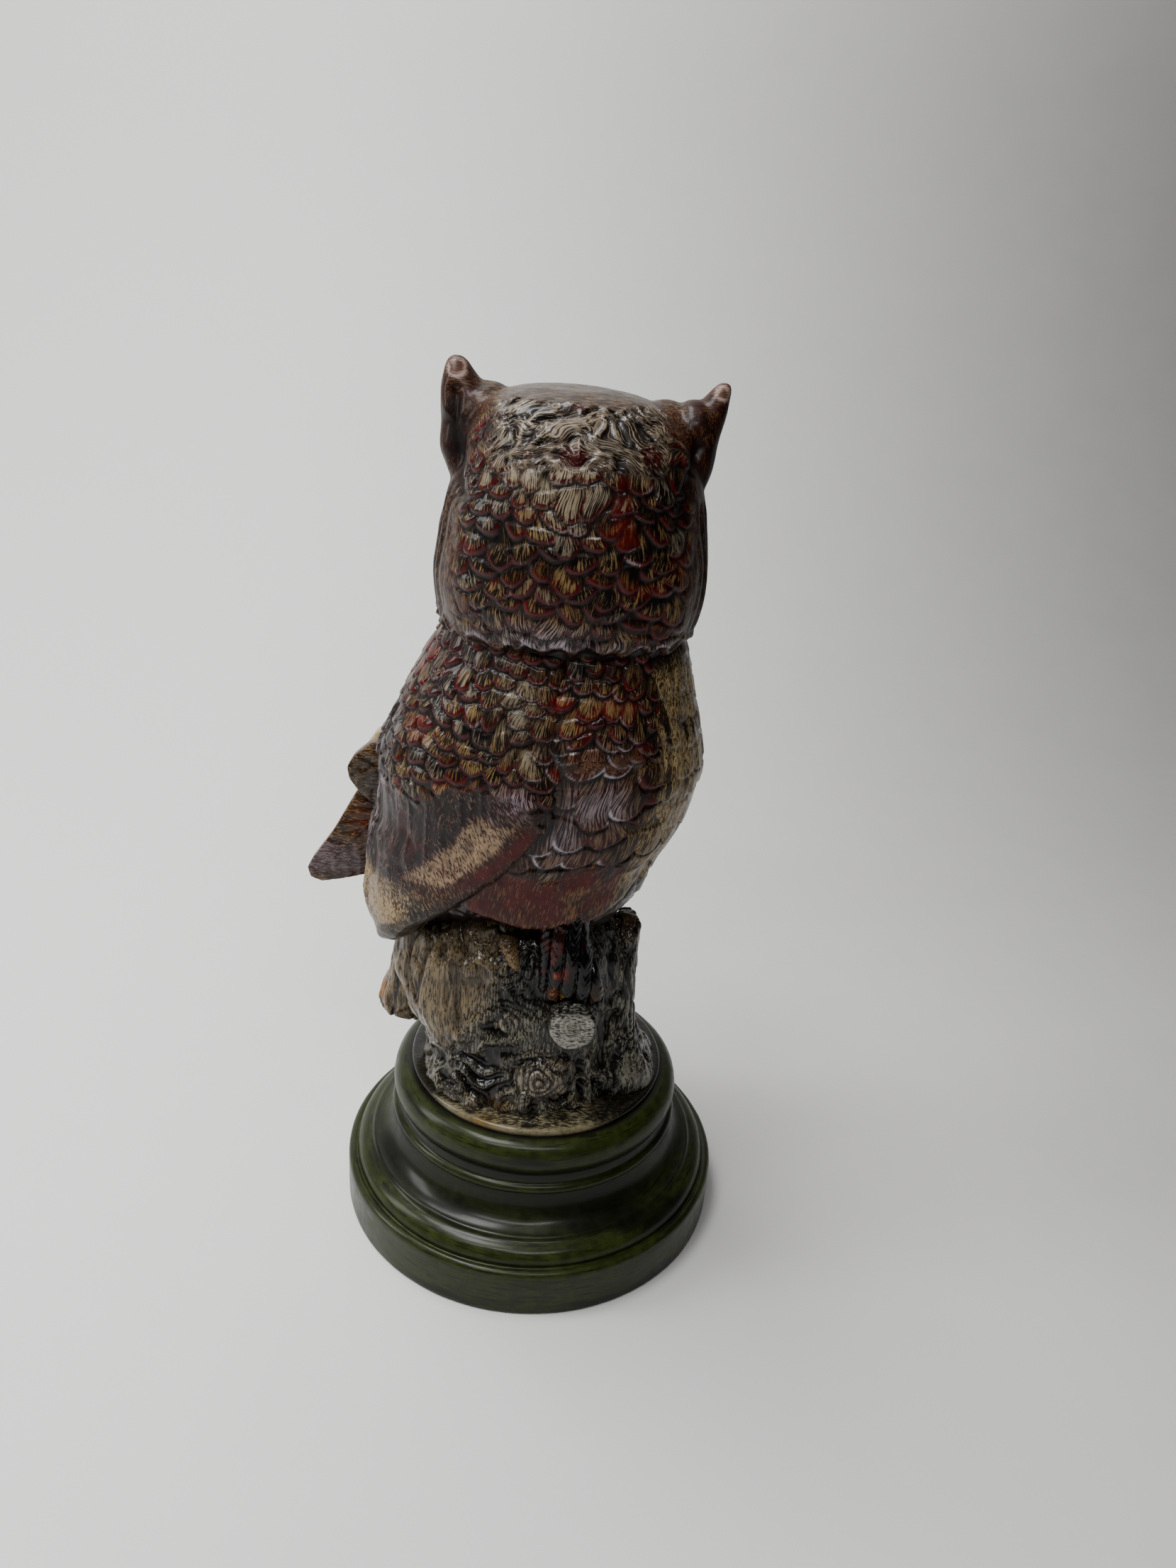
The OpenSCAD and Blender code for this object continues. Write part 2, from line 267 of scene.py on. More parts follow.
def shift(obj, steps):
    """Moves each point by its own step in mm."""
    points, _ = figure_points(obj)
    moved = (points + steps) * (MM * GROW) + (0, 0, SEAT)
    obj.data.vertices.foreach_set("co", moved.ravel())
    obj.data.update()


def carve(obj, height):
    """Moves each point along its normal by its height in mm."""
    _, normals = figure_points(obj)
    shift(obj, normals * height[:, None])


def store(obj, name, values):
    """Keeps four numbers for each point."""
    layer = obj.data.attributes.new(name, "FLOAT_COLOR", "POINT")
    layer.data.foreach_set("color", np.clip(values, 0, 1).astype(np.float32).ravel())


def comb(obj, along_strokes, scale=None, scaled=None):
    """Keeps the directions of the bristle marks: a fan on each feather, the given ones elsewhere."""
    flow = np.array(along_strokes, float)
    if scale is not None:
        fans = np.column_stack([16 * scale["fan"], 91 * scale["own"], 2.8 * scale["t"]])
        flow = np.where(scaled[:, None] > 0.45, fans, flow)
    layer = obj.data.attributes.new("flow", "FLOAT_VECTOR", "POINT")
    layer.data.foreach_set("vector", flow.astype(np.float32).ravel())


DEEPER = 0.62
STEEPER = 1.28


def laid(look):
    """The paint for a colour as it looks, 0 to 255: deeper, as the coat and the room lighten it."""
    return DEEPER * ((np.array(look) / 255 + 0.055) / 1.055) ** (2.4 * STEEPER)


class Paint:
    """Colours on a piece's points: tint below, dry-brushed colour above, dark wash in the hollows and painted
    shade.
    """

    def __init__(self, count, tint, brush, amount=0.4, dark=0.0):
        self.tint = np.tile(laid(tint), (count, 1))
        self.brush = np.tile(laid(brush), (count, 1))
        self.amount = np.full(count, float(amount))
        self.dark = np.full(count, float(dark))

    def wash(self, where, tint=None, brush=None, amount=None, dark=None):
        """Blends towards the given values by where, from 0 to 1."""
        w = np.clip(where, 0, 1)
        for name, value in (("tint", tint), ("brush", brush)):
            if value is not None:
                old = getattr(self, name)
                setattr(self, name, old + (laid(value) - old) * w[:, None])
        for name, value in (("amount", amount), ("dark", dark)):
            if value is not None:
                old = getattr(self, name)
                setattr(self, name, old + (value - old) * w)

    def put_on(self, obj):
        """Stores the paint on the object."""
        store(obj, "tint", np.column_stack([self.tint, np.clip(self.dark, 0, 1)]))
        store(obj, "brush", np.column_stack([self.brush, np.clip(self.amount, 0, 1)]))


print("mid grey is laid as", laid((128, 128, 128)).round(3))

# %% [markdown]
# The feathers overlap like roof tiles. A point belongs to the feather of the upper row if it lies inside
# that feather's rounded end, and otherwise to the row below, which shows in the gaps between the ends.

# %% Rows of overlapping feathers
def feathers(across, down, wide, deep, seed=1, bluntness=0.56):
    """What each point is on overlapping feathers: height, rim, middle, edge, painted shadow under the tips,
    streak and place.
    """
    zero = np.zeros(len(across))
    names = ("height", "rim", "mid", "edge", "hollow", "own", "streak", "fan", "t")
    out = {name: zero.copy() for name in names}
    taken = np.zeros(len(across), bool)
    shadow = zero.copy()
    reach = 2.05 * deep
    for behind in (2, 1, 0):
        k = np.floor(down / deep).astype(np.int64) - behind
        shift = 0.5 * (k % 2)
        i = np.round(across / wide - shift).astype(np.int64)
        own = hashed(i, k, k * 0 + 3, seed)
        turn = hashed(i, k, k * 0 + 9, seed) - 0.5
        top = (k + 0.8 * turn) * deep
        r = wide * (bluntness - 0.04 + 0.12 * own)
        past = np.maximum(down - top - (reach - r), 0)
        lean = across - (i + shift + 0.36 * (own - 0.5)) * wide - 0.2 * turn * past
        q = np.sqrt((lean / r) ** 2 + (past / r) ** 2)
        mine = (q < 1) & ~taken if behind else ~taken
        t = np.clip((down - top) / reach, 0, 1)
        arch = 1 - 0.45 * (lean / r) ** 2
        fan = np.column_stack([5 * lean / r / (t + 0.5), own * 91, 1.4 * t])
        found = {"own": own, "streak": noise(fan, 1.0, seed + 5), "fan": lean / r / (t + 0.45), "t": t,
                 "mid": ease((0.98 - q) / 0.42) * ease((t - 0.15) / 0.2)}
        if behind:
            tip = ease(past / (0.22 * r))
            found["height"] = (0.25 + 0.75 * t) * arch * (0.15 + 0.85 * ease((1 - q) / 0.2))
            found["rim"] = ease((q - 0.62 - 0.16 * (own - 0.5)) / 0.2) * ease((1.02 - q) / 0.08) * tip
            found["edge"] = line_at(q, 0.9, 0.08) * tip
            # painted shadow: a thin band at the feather's end and the shade cast by the rows above
            found["hollow"] = np.maximum(shadow, ease((q - 0.95) / 0.05))
        else:
            found["height"] = 0.32 * t * arch
            found["hollow"] = shadow
        for name, values in found.items():
            out[name] = np.where(mine, values, out[name])
        taken |= mine
        if behind:
            shadow = np.maximum(shadow, np.where(past > 0, line_at(q, 1, 0.2), 0))
    return out


print(len(feathers(np.zeros(1), np.zeros(1), 8, 5)), "values for each point of a feather")

# %% [markdown]
# The finish is fired paint, built up in layers: a flat colour, dark wash wiped off so that it stays in the
# hollows, a nearly dry brush dragged over the raised parts, and a thick clear coat. The shader stacks them in
# that order. The dark layer also carries painted shade in creases and under overhangs. The bristle marks are
# noise stretched along the stroke.

# %% Antiqued paint
DARK_WASH_AND_SHADE = (0.002, 0.0016, 0.0015, 1)
EDGE = 0.03


class Recipe:
    """Adds shader nodes to one material, a line for each."""

    def __init__(self, name):
        self.material = bpy.data.materials.new(name)
        self.material.use_nodes = True
        self.tree = self.material.node_tree
        self.shader = self.tree.nodes["Principled BSDF"]
        self.coords = self.tree.nodes.new("ShaderNodeTexCoord").outputs["Object"]

    def put(self, socket, value):
        if isinstance(value, bpy.types.NodeSocket):
            self.tree.links.new(value, socket)
        else:
            socket.default_value = value

    def stored(self, name):
        """Colour and fourth number kept on the piece's points."""
        node = self.tree.nodes.new("ShaderNodeAttribute")
        node.attribute_name = name
        return node.outputs["Color"], node.outputs["Alpha"]

    def parts(self):
        """The three coordinates, in metres."""
        node = self.tree.nodes.new("ShaderNodeSeparateXYZ")
        self.put(node.inputs[0], self.coords)
        return node.outputs

    def sum(self, operation, *values):
        node = self.tree.nodes.new("ShaderNodeMath")
        node.operation = operation
        for socket, value in zip(node.inputs, values):
            self.put(socket, value)
        return node.outputs[0]

    def mix(self, factor, below, above, blend="MIX"):
        node = self.tree.nodes.new("ShaderNodeMix")
        node.data_type = "RGBA"
        node.blend_type = blend
        for socket, value in ((node.inputs[0], factor), (node.inputs[6], below), (node.inputs[7], above)):
            self.put(socket, value)
        return node.outputs[2]

    def grain(self, sizes, detail=2.0, rough=0.5, flow=False):
        """Noise with lumps of the given sizes in mm along X, Y and Z, or along the combed directions."""
        place = self.tree.nodes.new("ShaderNodeMapping")
        if flow:
            combed = self.tree.nodes.new("ShaderNodeAttribute")
            combed.attribute_name = "flow"
            self.put(place.inputs["Vector"], combed.outputs["Vector"])
        else:
            self.put(place.inputs["Vector"], self.coords)
        place.inputs["Scale"].default_value = tuple(1.0 if flow else 1 / (s * MM) for s in sizes)
        tex = self.tree.nodes.new("ShaderNodeTexNoise")
        tex.inputs["Scale"].default_value = 1.0
        tex.inputs["Detail"].default_value = detail
        tex.inputs["Roughness"].default_value = rough
        self.put(tex.inputs["Vector"], place.outputs["Vector"])
        return tex.outputs["Fac"]

    def slope(self, value, low, high, out_low=0.0, out_high=1.0, soft=True):
        node = self.tree.nodes.new("ShaderNodeMapRange")
        node.interpolation_type = "SMOOTHSTEP" if soft else "LINEAR"
        names = ("Value", "From Min", "From Max", "To Min", "To Max")
        for name, item in zip(names, (value, low, high, out_low, out_high)):
            self.put(node.inputs[name], item)
        return node.outputs["Result"]

    def finish(self, colour, rough, height, bump, depth, coat, coat_rough):
        """Joins the layers to the shader; depth is the bump's height in mm."""
        self.put(self.shader.inputs["Base Color"], colour)
        self.put(self.shader.inputs["Roughness"], rough)
        dent = self.tree.nodes.new("ShaderNodeBump")
        dent.inputs["Strength"].default_value = bump
        dent.inputs["Distance"].default_value = depth * MM
        self.put(dent.inputs["Height"], height)
        self.put(self.shader.inputs["Normal"], dent.outputs["Normal"])
        self.shader.inputs["Specular IOR Level"].default_value = 0.12
        self.shader.inputs["Coat Weight"].default_value = coat
        self.shader.inputs["Coat Roughness"].default_value = coat_rough
        return self.material


def antique(name, stroke=(0.36, 0.36, 2.4), gloss=0.38, coat=0.36, coat_rough=0.09, bump=0.35, flow=False):
    """Paint that reads the tint and brush stored on a piece; stroke is the bristle mark's size in mm."""
    mixing = Recipe(name)
    tint, dark = mixing.stored("tint")
    brush, amount = mixing.stored("brush")
    bristles = mixing.grain(stroke, 3.0, 0.6, flow)
    mottle = mixing.grain((4.0, 4.0, 5.0), 4.0, 0.6)
    threshold = mixing.sum("MULTIPLY_ADD", amount, -0.42, 0.72)
    low, high = (mixing.sum(way, threshold, EDGE) for way in ("SUBTRACT", "ADD"))
    marks = mixing.slope(bristles, low, high)
    marks = mixing.sum("MULTIPLY", marks, mixing.slope(mottle, 0.28, 0.55, 0.45, 1.0))
    shade = mixing.slope(mottle, 0.25, 0.75, 0.6, 1.35)
    ground = mixing.mix(1.0, tint, shade, "MULTIPLY")
    brushed = mixing.mix(marks, ground, brush)
    # the dark layer: wash left in the hollows and painted shade
    wash = mixing.sum("MULTIPLY", dark, mixing.slope(bristles, 0.3, 0.7, 1.15, 0.75))
    painted = mixing.mix(wash, brushed, DARK_WASH_AND_SHADE)
    rough = mixing.slope(mottle, 0.2, 0.8, gloss - 0.08, gloss + 0.12)
    height = mixing.sum("MULTIPLY_ADD", mottle, 0.5, bristles)
    return mixing.finish(painted, rough, height, bump, 0.25, coat, coat_rough)


def finish_piece(obj, node, material, paint=None):
    """Gives a finished piece its paint and material, shades it smooth, hangs it on the root body and hides
    the CAD node it stands for.
    """
    if paint:
        paint.put_on(obj)
    obj.data.materials.clear()
    obj.data.materials.append(material)
    obj.data.shade_smooth()
    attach(obj, "root")
    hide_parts(node)


print("bristle marks fade over", 2 * EDGE, "of the noise")

# %% [markdown]
# The stage is a pale sheet that runs back and curves up far behind the figure, lit by large soft lamps,
# as a small product is usually shown.

# %% Floor and lamps
def swept_sheet():
    """A floor that curves up into a wall: one profile, extruded sideways."""
    bm = bmesh.new()
    half, back, bend, wall_top = 3.0, -0.26, 0.5, 1.8
    profile = [(2.6, 0.0), (back, 0.0)]
    for step in range(1, 13):
        angle = math.radians(90 * step / 12)
        profile.append((back - bend * math.sin(angle), bend * (1 - math.cos(angle))))
    profile.append((back - bend, wall_top))
    verts = [bm.verts.new((-half, y, z)) for y, z in profile]
    edges = [bm.edges.new(pair) for pair in zip(verts, verts[1:])]
    grown = bmesh.ops.extrude_edge_only(bm, edges=edges)["geom"]
    moved = [g for g in grown if isinstance(g, bmesh.types.BMVert)]
    bmesh.ops.translate(bm, vec=(2 * half, 0, 0), verts=moved)
    bmesh.ops.recalc_face_normals(bm, faces=bm.faces[:])
    mesh = bpy.data.meshes.new("sheet")
    bm.to_mesh(mesh)
    bm.free()
    mesh.shade_smooth()
    return bpy.data.objects.new("sheet", mesh)


sheet = swept_sheet()
bpy.context.scene.collection.objects.link(sheet)
card = Recipe("pale_card")
card_grain = card.grain((30, 30, 30), 3.0)
aside, _, _ = card.parts()
# the card is painted darker towards negative x: painted shade, standing in for lamp light that falls off
# across the sheet
card_lit = card.slope(aside, -0.75, 0.35)
card_tone = card.sum("MULTIPLY_ADD", card_grain, 0.06, card_lit)
card_shade = card.mix(card_tone, (0.24, 0.237, 0.232, 1), (0.78, 0.775, 0.76, 1))
sheet.data.materials.append(card.finish(card_shade, 0.62, card_grain, 0.05, 0.1, 0.0, 0.5))


def lamp(name, place, target, size, power, warmth=(1, 1, 1)):
    """A soft square lamp aimed at a point."""
    data = bpy.data.lights.new(name, "AREA")
    data.shape = "RECTANGLE"
    data.size, data.size_y = size
    data.energy = power
    data.color = warmth
    obj = bpy.data.objects.new(name, data)
    obj.location = place
    obj.rotation_euler = (Vector(target) - Vector(place)).to_track_quat("-Z", "Y").to_euler()
    bpy.context.scene.collection.objects.link(obj)


middle = (0, 0, 0.15)
lamp("ceiling", (0.35, -0.02, 1.30), middle, (0.9, 0.35), 21)
lamp("strip", (0.10, 0.62, 0.95), middle, (0.8, 0.05), 4.5)
lamp("window", (1.10, 0.10, 0.75), middle, (0.3, 0.8), 8)
world = bpy.data.worlds.new("room")
world.use_nodes = True
world.node_tree.nodes["Background"].inputs["Color"].default_value = (0.80, 0.80, 0.80, 1)
world.node_tree.nodes["Background"].inputs["Strength"].default_value = 0.04
bpy.context.scene.world = world
print("stage ready")

# %% [markdown]
# The plinth is turned: half of its outline is drawn once and spun round. The casting is open below, so the
# outline runs up the inside of the wall as well and round the pouring hole.

# %% Plinth
foot_r, top_z = (v / MM for v in (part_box("plinth")[1][0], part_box("plinth")[1][2]))
seat_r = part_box("ground_disc")[1][0] / MM


def arc(cx, cz, rx, rz, start, stop, steps=9):
    """Points of a curved moulding, angles in degrees."""
    angles = [math.radians(start + (stop - start) * i / steps) for i in range(steps + 1)]
    return [(cx + rx * math.cos(a), cz + rz * math.sin(a)) for a in angles]


def spun(name, outline, steps=240):
    """A turned solid from a closed half outline [(radius, height)], in mm."""
    bm = bmesh.new()
    verts = [bm.verts.new((x, 0, z)) for x, z in outline]
    edges = [bm.edges.new(pair) for pair in zip(verts, verts[1:] + verts[:1])]
    bmesh.ops.spin(bm, geom=verts + edges, cent=(0, 0, 0), axis=(0, 0, 1), angle=math.tau, steps=steps,
                   use_merge=True)
    bmesh.ops.remove_doubles(bm, verts=bm.verts[:], dist=1e-4)
    bmesh.ops.recalc_face_normals(bm, faces=bm.faces[:])
    return new_object(name, bm)


def finely(points, gap=1.1):
    """The same outline with no step longer than the gap."""
    fine = []
    for (x0, z0), (x1, z1) in zip(points, points[1:] + points[:1]):
        parts = max(1, math.ceil(math.hypot(x1 - x0, z1 - z0) / gap))
        fine += [(x0 + (x1 - x0) * k / parts, z0 + (z1 - z0) * k / parts) for k in range(parts)]
    return fine


band, bead = 0.29 * top_z, 0.685 * top_z
plinth_outline = (
    arc(foot_r - 1, 1, 1, 1, -90, 0, 4) + arc(foot_r - 2.2, band - 0.4, 2.2, 2.2, 0, 78, 6)
    + arc(foot_r - 9, band + 2, 5.6, 5.6, -8, 84) + [(foot_r - 9.3, band + 8.6)]
    + arc(foot_r - 9.2, bead - 2, 9, bead - band - 11, 268, 182) + arc(foot_r - 18.6, bead, 2.1, 2, -80, 84)
    + [(seat_r + 4.6, 0.79 * top_z)] + arc(seat_r + 0.6, top_z - 7, 5.7, 6.8, -38, 86)
    + [(seat_r - 0.4, top_z)]
    + [(11.0, top_z), (11.0, top_z - 5), (seat_r - 2.5, top_z - 5), (seat_r - 0.6, bead - 3),
       (foot_r - 14, band + 6), (foot_r - 8, band + 1), (foot_r - 8, 0.6), (foot_r - 7.4, 0)])
plinth = spun("plinth_turned", finely([(x, z - SEAT / MM) for x, z in plinth_outline]))
points, x, y, z = places(plinth)
height = z + SEAT / MM
radius = np.hypot(x, y)
carve(plinth, 0.10 * lumpy(points, (14, 14, 5), 5))
paint = Paint(len(points), (70, 80, 33), (42, 47, 25), 0.35)
# painted shade in the recesses: darker green in the cove, a dark line above the foot band, a dark band at the
# waist under the top roll and a dark ring round the seat
shading = ease((height - band - 6) / 4) * ease((bead + 1 - height) / 4)
cloud = 0.5 + 0.5 * lumpy(points, (26, 26, 6), 9)
paint.wash(shading * (0.35 + 0.9 * cloud), tint=(44, 51, 25), dark=0.16)
paint.wash(ease((height - band - 1.0) / 1.5) * ease((band + 3.4 - height) / 1.5), dark=0.6)
paint.wash(bell(height[:, None], [0.78 * top_z], [4.5]), tint=(28, 32, 20), dark=0.3)
paint.wash(ease((cloud - 0.62) * 3), tint=(33, 38, 22), amount=0.5)
paint.wash(ease((seat_r + 1.4 - radius) / 1.2) * ease((height - top_z + 2) / 1.5), tint=(40, 34, 22),
           dark=0.5)
paint.wash(ease((foot_r - 12 - radius) / 3) * ease((band - height) / 4), tint=(170, 160, 140), amount=0.1)
GREEN = antique("olive_glaze", stroke=(9, 9, 0.5), gloss=0.42, coat=0.22, coat_rough=0.2, bump=0.12)
finish_piece(plinth, "plinth", GREEN, paint)
print("plinth", round(2 * foot_r), "mm across")

# %% [markdown]
# The ground under the stump is a thin turned patch, brushed with cream and brown.

# %% Ground
ground_outline = (
    [(seat_r - 0.5, 0)] + arc(seat_r - 1.7, 1.2, 1.5, 1.4, 0, 70, 5)
    + [(seat_r - 5, 3.2), (seat_r - 9, 3.9), (3, 4.2)] + [(1.5, 4.2), (1.5, 0)])
ground = spun("ground_patch", finely(ground_outline, 0.9), 200)
points, x, y, z = places(ground)
radius = np.hypot(x, y)
angle = np.degrees(np.arctan2(y, x))
inside = ease((seat_r - 1.2 - radius) / 4) * ease((z - 1) / 1.5)
carve(ground, inside * (0.5 * lumpy(points, (7, 7, 7), 3) + 0.35 * lumpy(points, (2.2, 9, 4), 4)))
paint = Paint(len(points), (74, 68, 52), (160, 152, 126), 0.48)
cloud = 0.5 + 0.5 * lumpy(points, (5, 5, 5), 12)
paint.wash(ease((cloud - 0.45) * 3), tint=(36, 33, 26), amount=0.25)
paint.wash(bell(points, (18, 44, 3), (8, 5, 9)), tint=(110, 84, 30), brush=(150, 118, 44), amount=0.6)
paint.wash(ease((np.abs(angle - 84) - 34) / 16), tint=(40, 38, 28), brush=(84, 78, 58), amount=0.4)
paint.wash(ease((radius - seat_r + 2.2) / 1.2) * ease((46 - np.abs(angle - 84)) / 16), tint=(142, 130, 100),
           amount=0.6)
paint.wash(bell(points, (-24, 38, 4), (5, 7, 6)), dark=0.95)
paint.wash(bell(points, (-9, 40, 4), (7, 3.5, 5)), dark=0.8)
GROUND = antique("ground_paint", stroke=(2.2, 0.5, 0.6), gloss=0.36)
finish_piece(ground, "ground_disc", GROUND, paint)

# %% [markdown]
# Bark is long grain that parts round the knots. The grain is noise stretched upwards, and before it is
# read, the points near a knot are pushed aside, so that the lines flow round it.

# %% Bark relief
KNOTS = [((-11, 40, 38), 10.5), ((-2, 38, 17), 11.5), ((11, 36, 37), 8), ((23, 33, 31), 6.5),
         ((25, 28, 14), 7.5),
         ((12, 37, 58), 7), ((-33, 18, 20), 6)]


def bark(points, knots=KNOTS, size=1.0):
    """Height in mm of bark, and how deep in a groove each point lies, from 0 to 1."""
    flow = points.copy()
    rings = np.zeros(len(points))
    near_any = np.zeros(len(points))
    for centre, reach in knots:
        away = points - np.array(centre, float)
        d = np.linalg.norm(away, axis=1) + 1e-6
        near = np.exp(-((d / reach) ** 2))
        flow += away / d[:, None] * (near * reach * 0.9)[:, None]
        uneven = d + 2.2 * noise(points, 6.0, 31)
        rings += near**0.8 * np.sin(uneven * math.tau / 2.5)
        near_any = np.maximum(near_any, near)
    flow = flow + 1.4 * wobble(points, 9, 5)
    broad = lumpy(flow, np.array([6.0, 6.0, 30.0]) * size, 41, 2)
    fine = lumpy(flow, np.array([2.4, 2.4, 15.0]) * size, 43, 2)
    furrow = line_at(broad, 0, 0.16)
    split = line_at(fine, 0, 0.16)
    height = 0.7 * broad - 1.25 * furrow + 0.25 * fine - 0.45 * split
    height = height * (1 - 0.75 * near_any) + 0.38 * rings
    groove = np.clip(furrow + 0.5 * split, 0, 1) * (1 - 0.7 * near_any) + ease(-rings) * near_any * 0.8
    return height, np.clip(groove, 0, 1)


def bark_paint(points, groove, tint, brush, amount=0.55):
    """Streaked bark colours with dark wash in the grooves."""
    paint = Paint(len(points), tint, brush, amount)
    patch = 0.5 + 0.5 * lumpy(points, (8, 8, 14), 51)
    dim = ease((patch - 0.55) * 3)
    paint.tint *= 1 - 0.55 * dim[:, None]
    paint.wash(dim, amount=amount * 0.6)
    paint.wash(groove, dark=0.9, amount=0.1)
    return paint


def barked(name, lumps, voxel, rounds, knots, size, deep):
    """A fused piece with bark pressed into it, its points and how deep they lie in grooves."""
    obj = fused(name, lumps, voxel, rounds)
    points, _ = figure_points(obj)
    height, groove = bark(points, knots, size)
    carve(obj, deep * height)
    return obj, points, groove


BARK = antique("bark_paint", stroke=(0.5, 0.5, 4.5), gloss=0.34)
ASH = (146, 142, 128)
SLATE = (42, 42, 38)
TAN = (166, 148, 118)
OCHRE = (190, 136, 44)
print(len(KNOTS), "knots in the bark")

# %% [markdown]
# The stump is a thick loft with swellings at its foot and side. On its left the bark hangs in long strands;
# lower down and to the right it curls, so there the noise that makes the folds is read at pushed places.

# %% Stump
STUMP = [
    [3, 5, 1, 37, 37], [7, 5.5, 1.5, 36, 36.5], [13, 6, 2, 34.5, 35.5], [23, 8, 2, 36, 34.5],
    [35, 11, 2, 39, 34.5], [45, 12.5, 1.5, 40.5, 34], [55, 12.5, 1, 40, 33.5], [65, 13, 0, 38, 32],
    [72, 13, 0, 30, 26]]
lumps = [loft(STUMP), ball((24, 22, 8), (13, 13, 9)), ball((3, 26, 7), (15, 12, 8)),
         ball((30, -20, 9), (12, 14, 9)), ball((-14, -24, 8), (14, 13, 9)), ball((26, 24, 29), (12, 9, 9)),
         ball((18, 28, 56), (17, 7, 9))]
stump = fused("stump_bark", lumps, 0.62, 8)
points, x, y, z = places(stump)
height, groove = bark(points)
swell = 1.3 * lumpy(points, (13, 13, 16), 23, 2)
left = ease((x - 12 + 0.35 * (z - 40)) / 16) * ease((z - 14) / 18)
bent = points + 4.5 * wobble(points, 9, 25)
fold = 1 - 2.5 * np.abs(noise(bent, (8, 8, 6), 28))
curly = (1 - left) * ease((50 - z) / 14)
carve(stump, (1.2 - 0.6 * curly) * height + swell + 1.5 * curly * fold)
paint = bark_paint(points, groove, SLATE, ASH, 0.45)
paint.wash(left, tint=(88, 76, 60), brush=TAN, amount=0.62)
paint.wash(left * groove, dark=0.55)
middle_dark = np.maximum(bell(points, (4, 36, 50), (13, 14, 16)), bell(points, (10, 37, 26), (11, 12, 12)))
paint.wash(middle_dark, tint=(22, 22, 22), amount=0.3)
paint.wash(middle_dark * ease(lumpy(points, (5, 5, 9), 24) * 2), dark=0.8)
# darker at the top of the stump's back, under the body and tail: painted shade
paint.wash(ease((z - 60) / 5) * ease((y - 6) / 8), dark=0.55)
low = ease((14 - z) / 8)
paint.wash(low * (0.5 + 0.5 * lumpy(points, 12, 61)), tint=(96, 84, 68), brush=(190, 178, 150), amount=0.55)
paint.wash(curly * ease(fold * 1.5), tint=(74, 71, 61), brush=(168, 163, 146), amount=0.5)
paint.wash(curly * ease(0.1 - fold * 1.3), tint=(18, 17, 16), amount=0.15, dark=0.8)
# a dark ring round the sawn stub: painted shadow
paint.wash(bell(points, (-11.4, 34, 35), (13, 10, 13)), tint=(24, 23, 21), amount=0.2, dark=0.45)
paint.wash(bell(points, (14, 37, 6), (9, 8, 4)), tint=(96, 74, 34), brush=(150, 112, 44), amount=0.4)
finish_piece(stump, "stump", BARK, paint)

# %% [markdown]
# A spur, a broken branch, a sawn stub and two knots stick out of the stump. Each is a piece of its own, so
# that it can be given its own grain: the stub has year rings, which are a sine of the distance to its middle.

# %% Spur of bark, broken branch, sawn stub and knots
SPUR = [
    [2.5, -31, 5, 13.5, 19], [8, -30, 7, 12.5, 18.5], [14, -28.2, 8, 11, 16.5], [26, -26.2, 7, 8.6, 13],
    [45, -26.2, 5, 8, 10.5], [57, -27, 3.5, 7.2, 8.5], [61.5, -28.3, 2, 5.6, 6.6], [64, -29.4, 1, 3, 3.6],
    [64.8, -29.6, 1, 0.6, 0.6]]
lumps = [loft(SPUR), ball((-24, 20, 6), (9, 9, 9))]
spur, points, groove = barked("bark_spur", lumps, 0.55, 6, KNOTS[-1:], 0.8, 0.9)
paint = bark_paint(points, groove, (70, 68, 60), (160, 156, 140), 0.6)
paint.wash(ease((points[:, 2] - 56) / 6), tint=(84, 66, 50), brush=(140, 118, 92))
# dark where the spur meets the stump: painted shade in the crevice
paint.wash(bell(points, (-20, 22, 20), (4, 8, 16)), dark=0.85)
finish_piece(spur, "trunk_spur", BARK, paint)

BRANCH = [
    [15.5, 44, 0, 5, 6], [18, 47.6, 0, 9, 9], [22, 48.8, 0, 10, 10.4], [27, 48.6, 0, 9.6, 11.4],
    [34, 46.6, 0, 9, 12], [44, 44.6, 0, 8.6, 12], [50, 42, 0, 8, 10]]
lumps = [loft(BRANCH), ball((56, 0, 22), (3.4, 6, 4))]
branch, points, groove = barked("broken_branch_bark", lumps, 0.55, 8, [], 0.9, 0.7)
paint = bark_paint(points, 0.7 * groove, (96, 82, 64), TAN, 0.64)
paint.wash(bell(points, (58, 0, 26), (7, 12, 8)), tint=(150, 104, 32), brush=OCHRE, amount=0.8)
paint.wash(bell(points, (57, 2, 20), (6, 9, 3.5)), tint=(60, 52, 40), amount=0.2)
TAN_BARK = antique("tan_bark_paint", stroke=(0.5, 0.5, 4.0), gloss=0.36)
finish_piece(branch, "broken_branch", TAN_BARK, paint)


def sawn_stub():
    """A short cylinder that faces up and back, with a rounded rim."""
    bm = bmesh.new()
    bmesh.ops.create_cone(bm, cap_ends=True, segments=72, radius1=9.8, radius2=8.0, depth=16.6)
    rim = [e for e in bm.edges if all(v.co.z > 8 for v in e.verts) and len(e.link_faces) == 2]
    bmesh.ops.bevel(bm, geom=rim, offset=1.2, offset_type="OFFSET", segments=3, profile=0.5, affect="EDGES",
                    material=-1, clamp_overlap=True)
    turn = Matrix.Rotation(math.radians(-74), 4, "X")
    bmesh.ops.transform(bm, matrix=Matrix.Translation((-11.4, 31.8, 38.8)) @ turn, verts=bm.verts)
    return bm


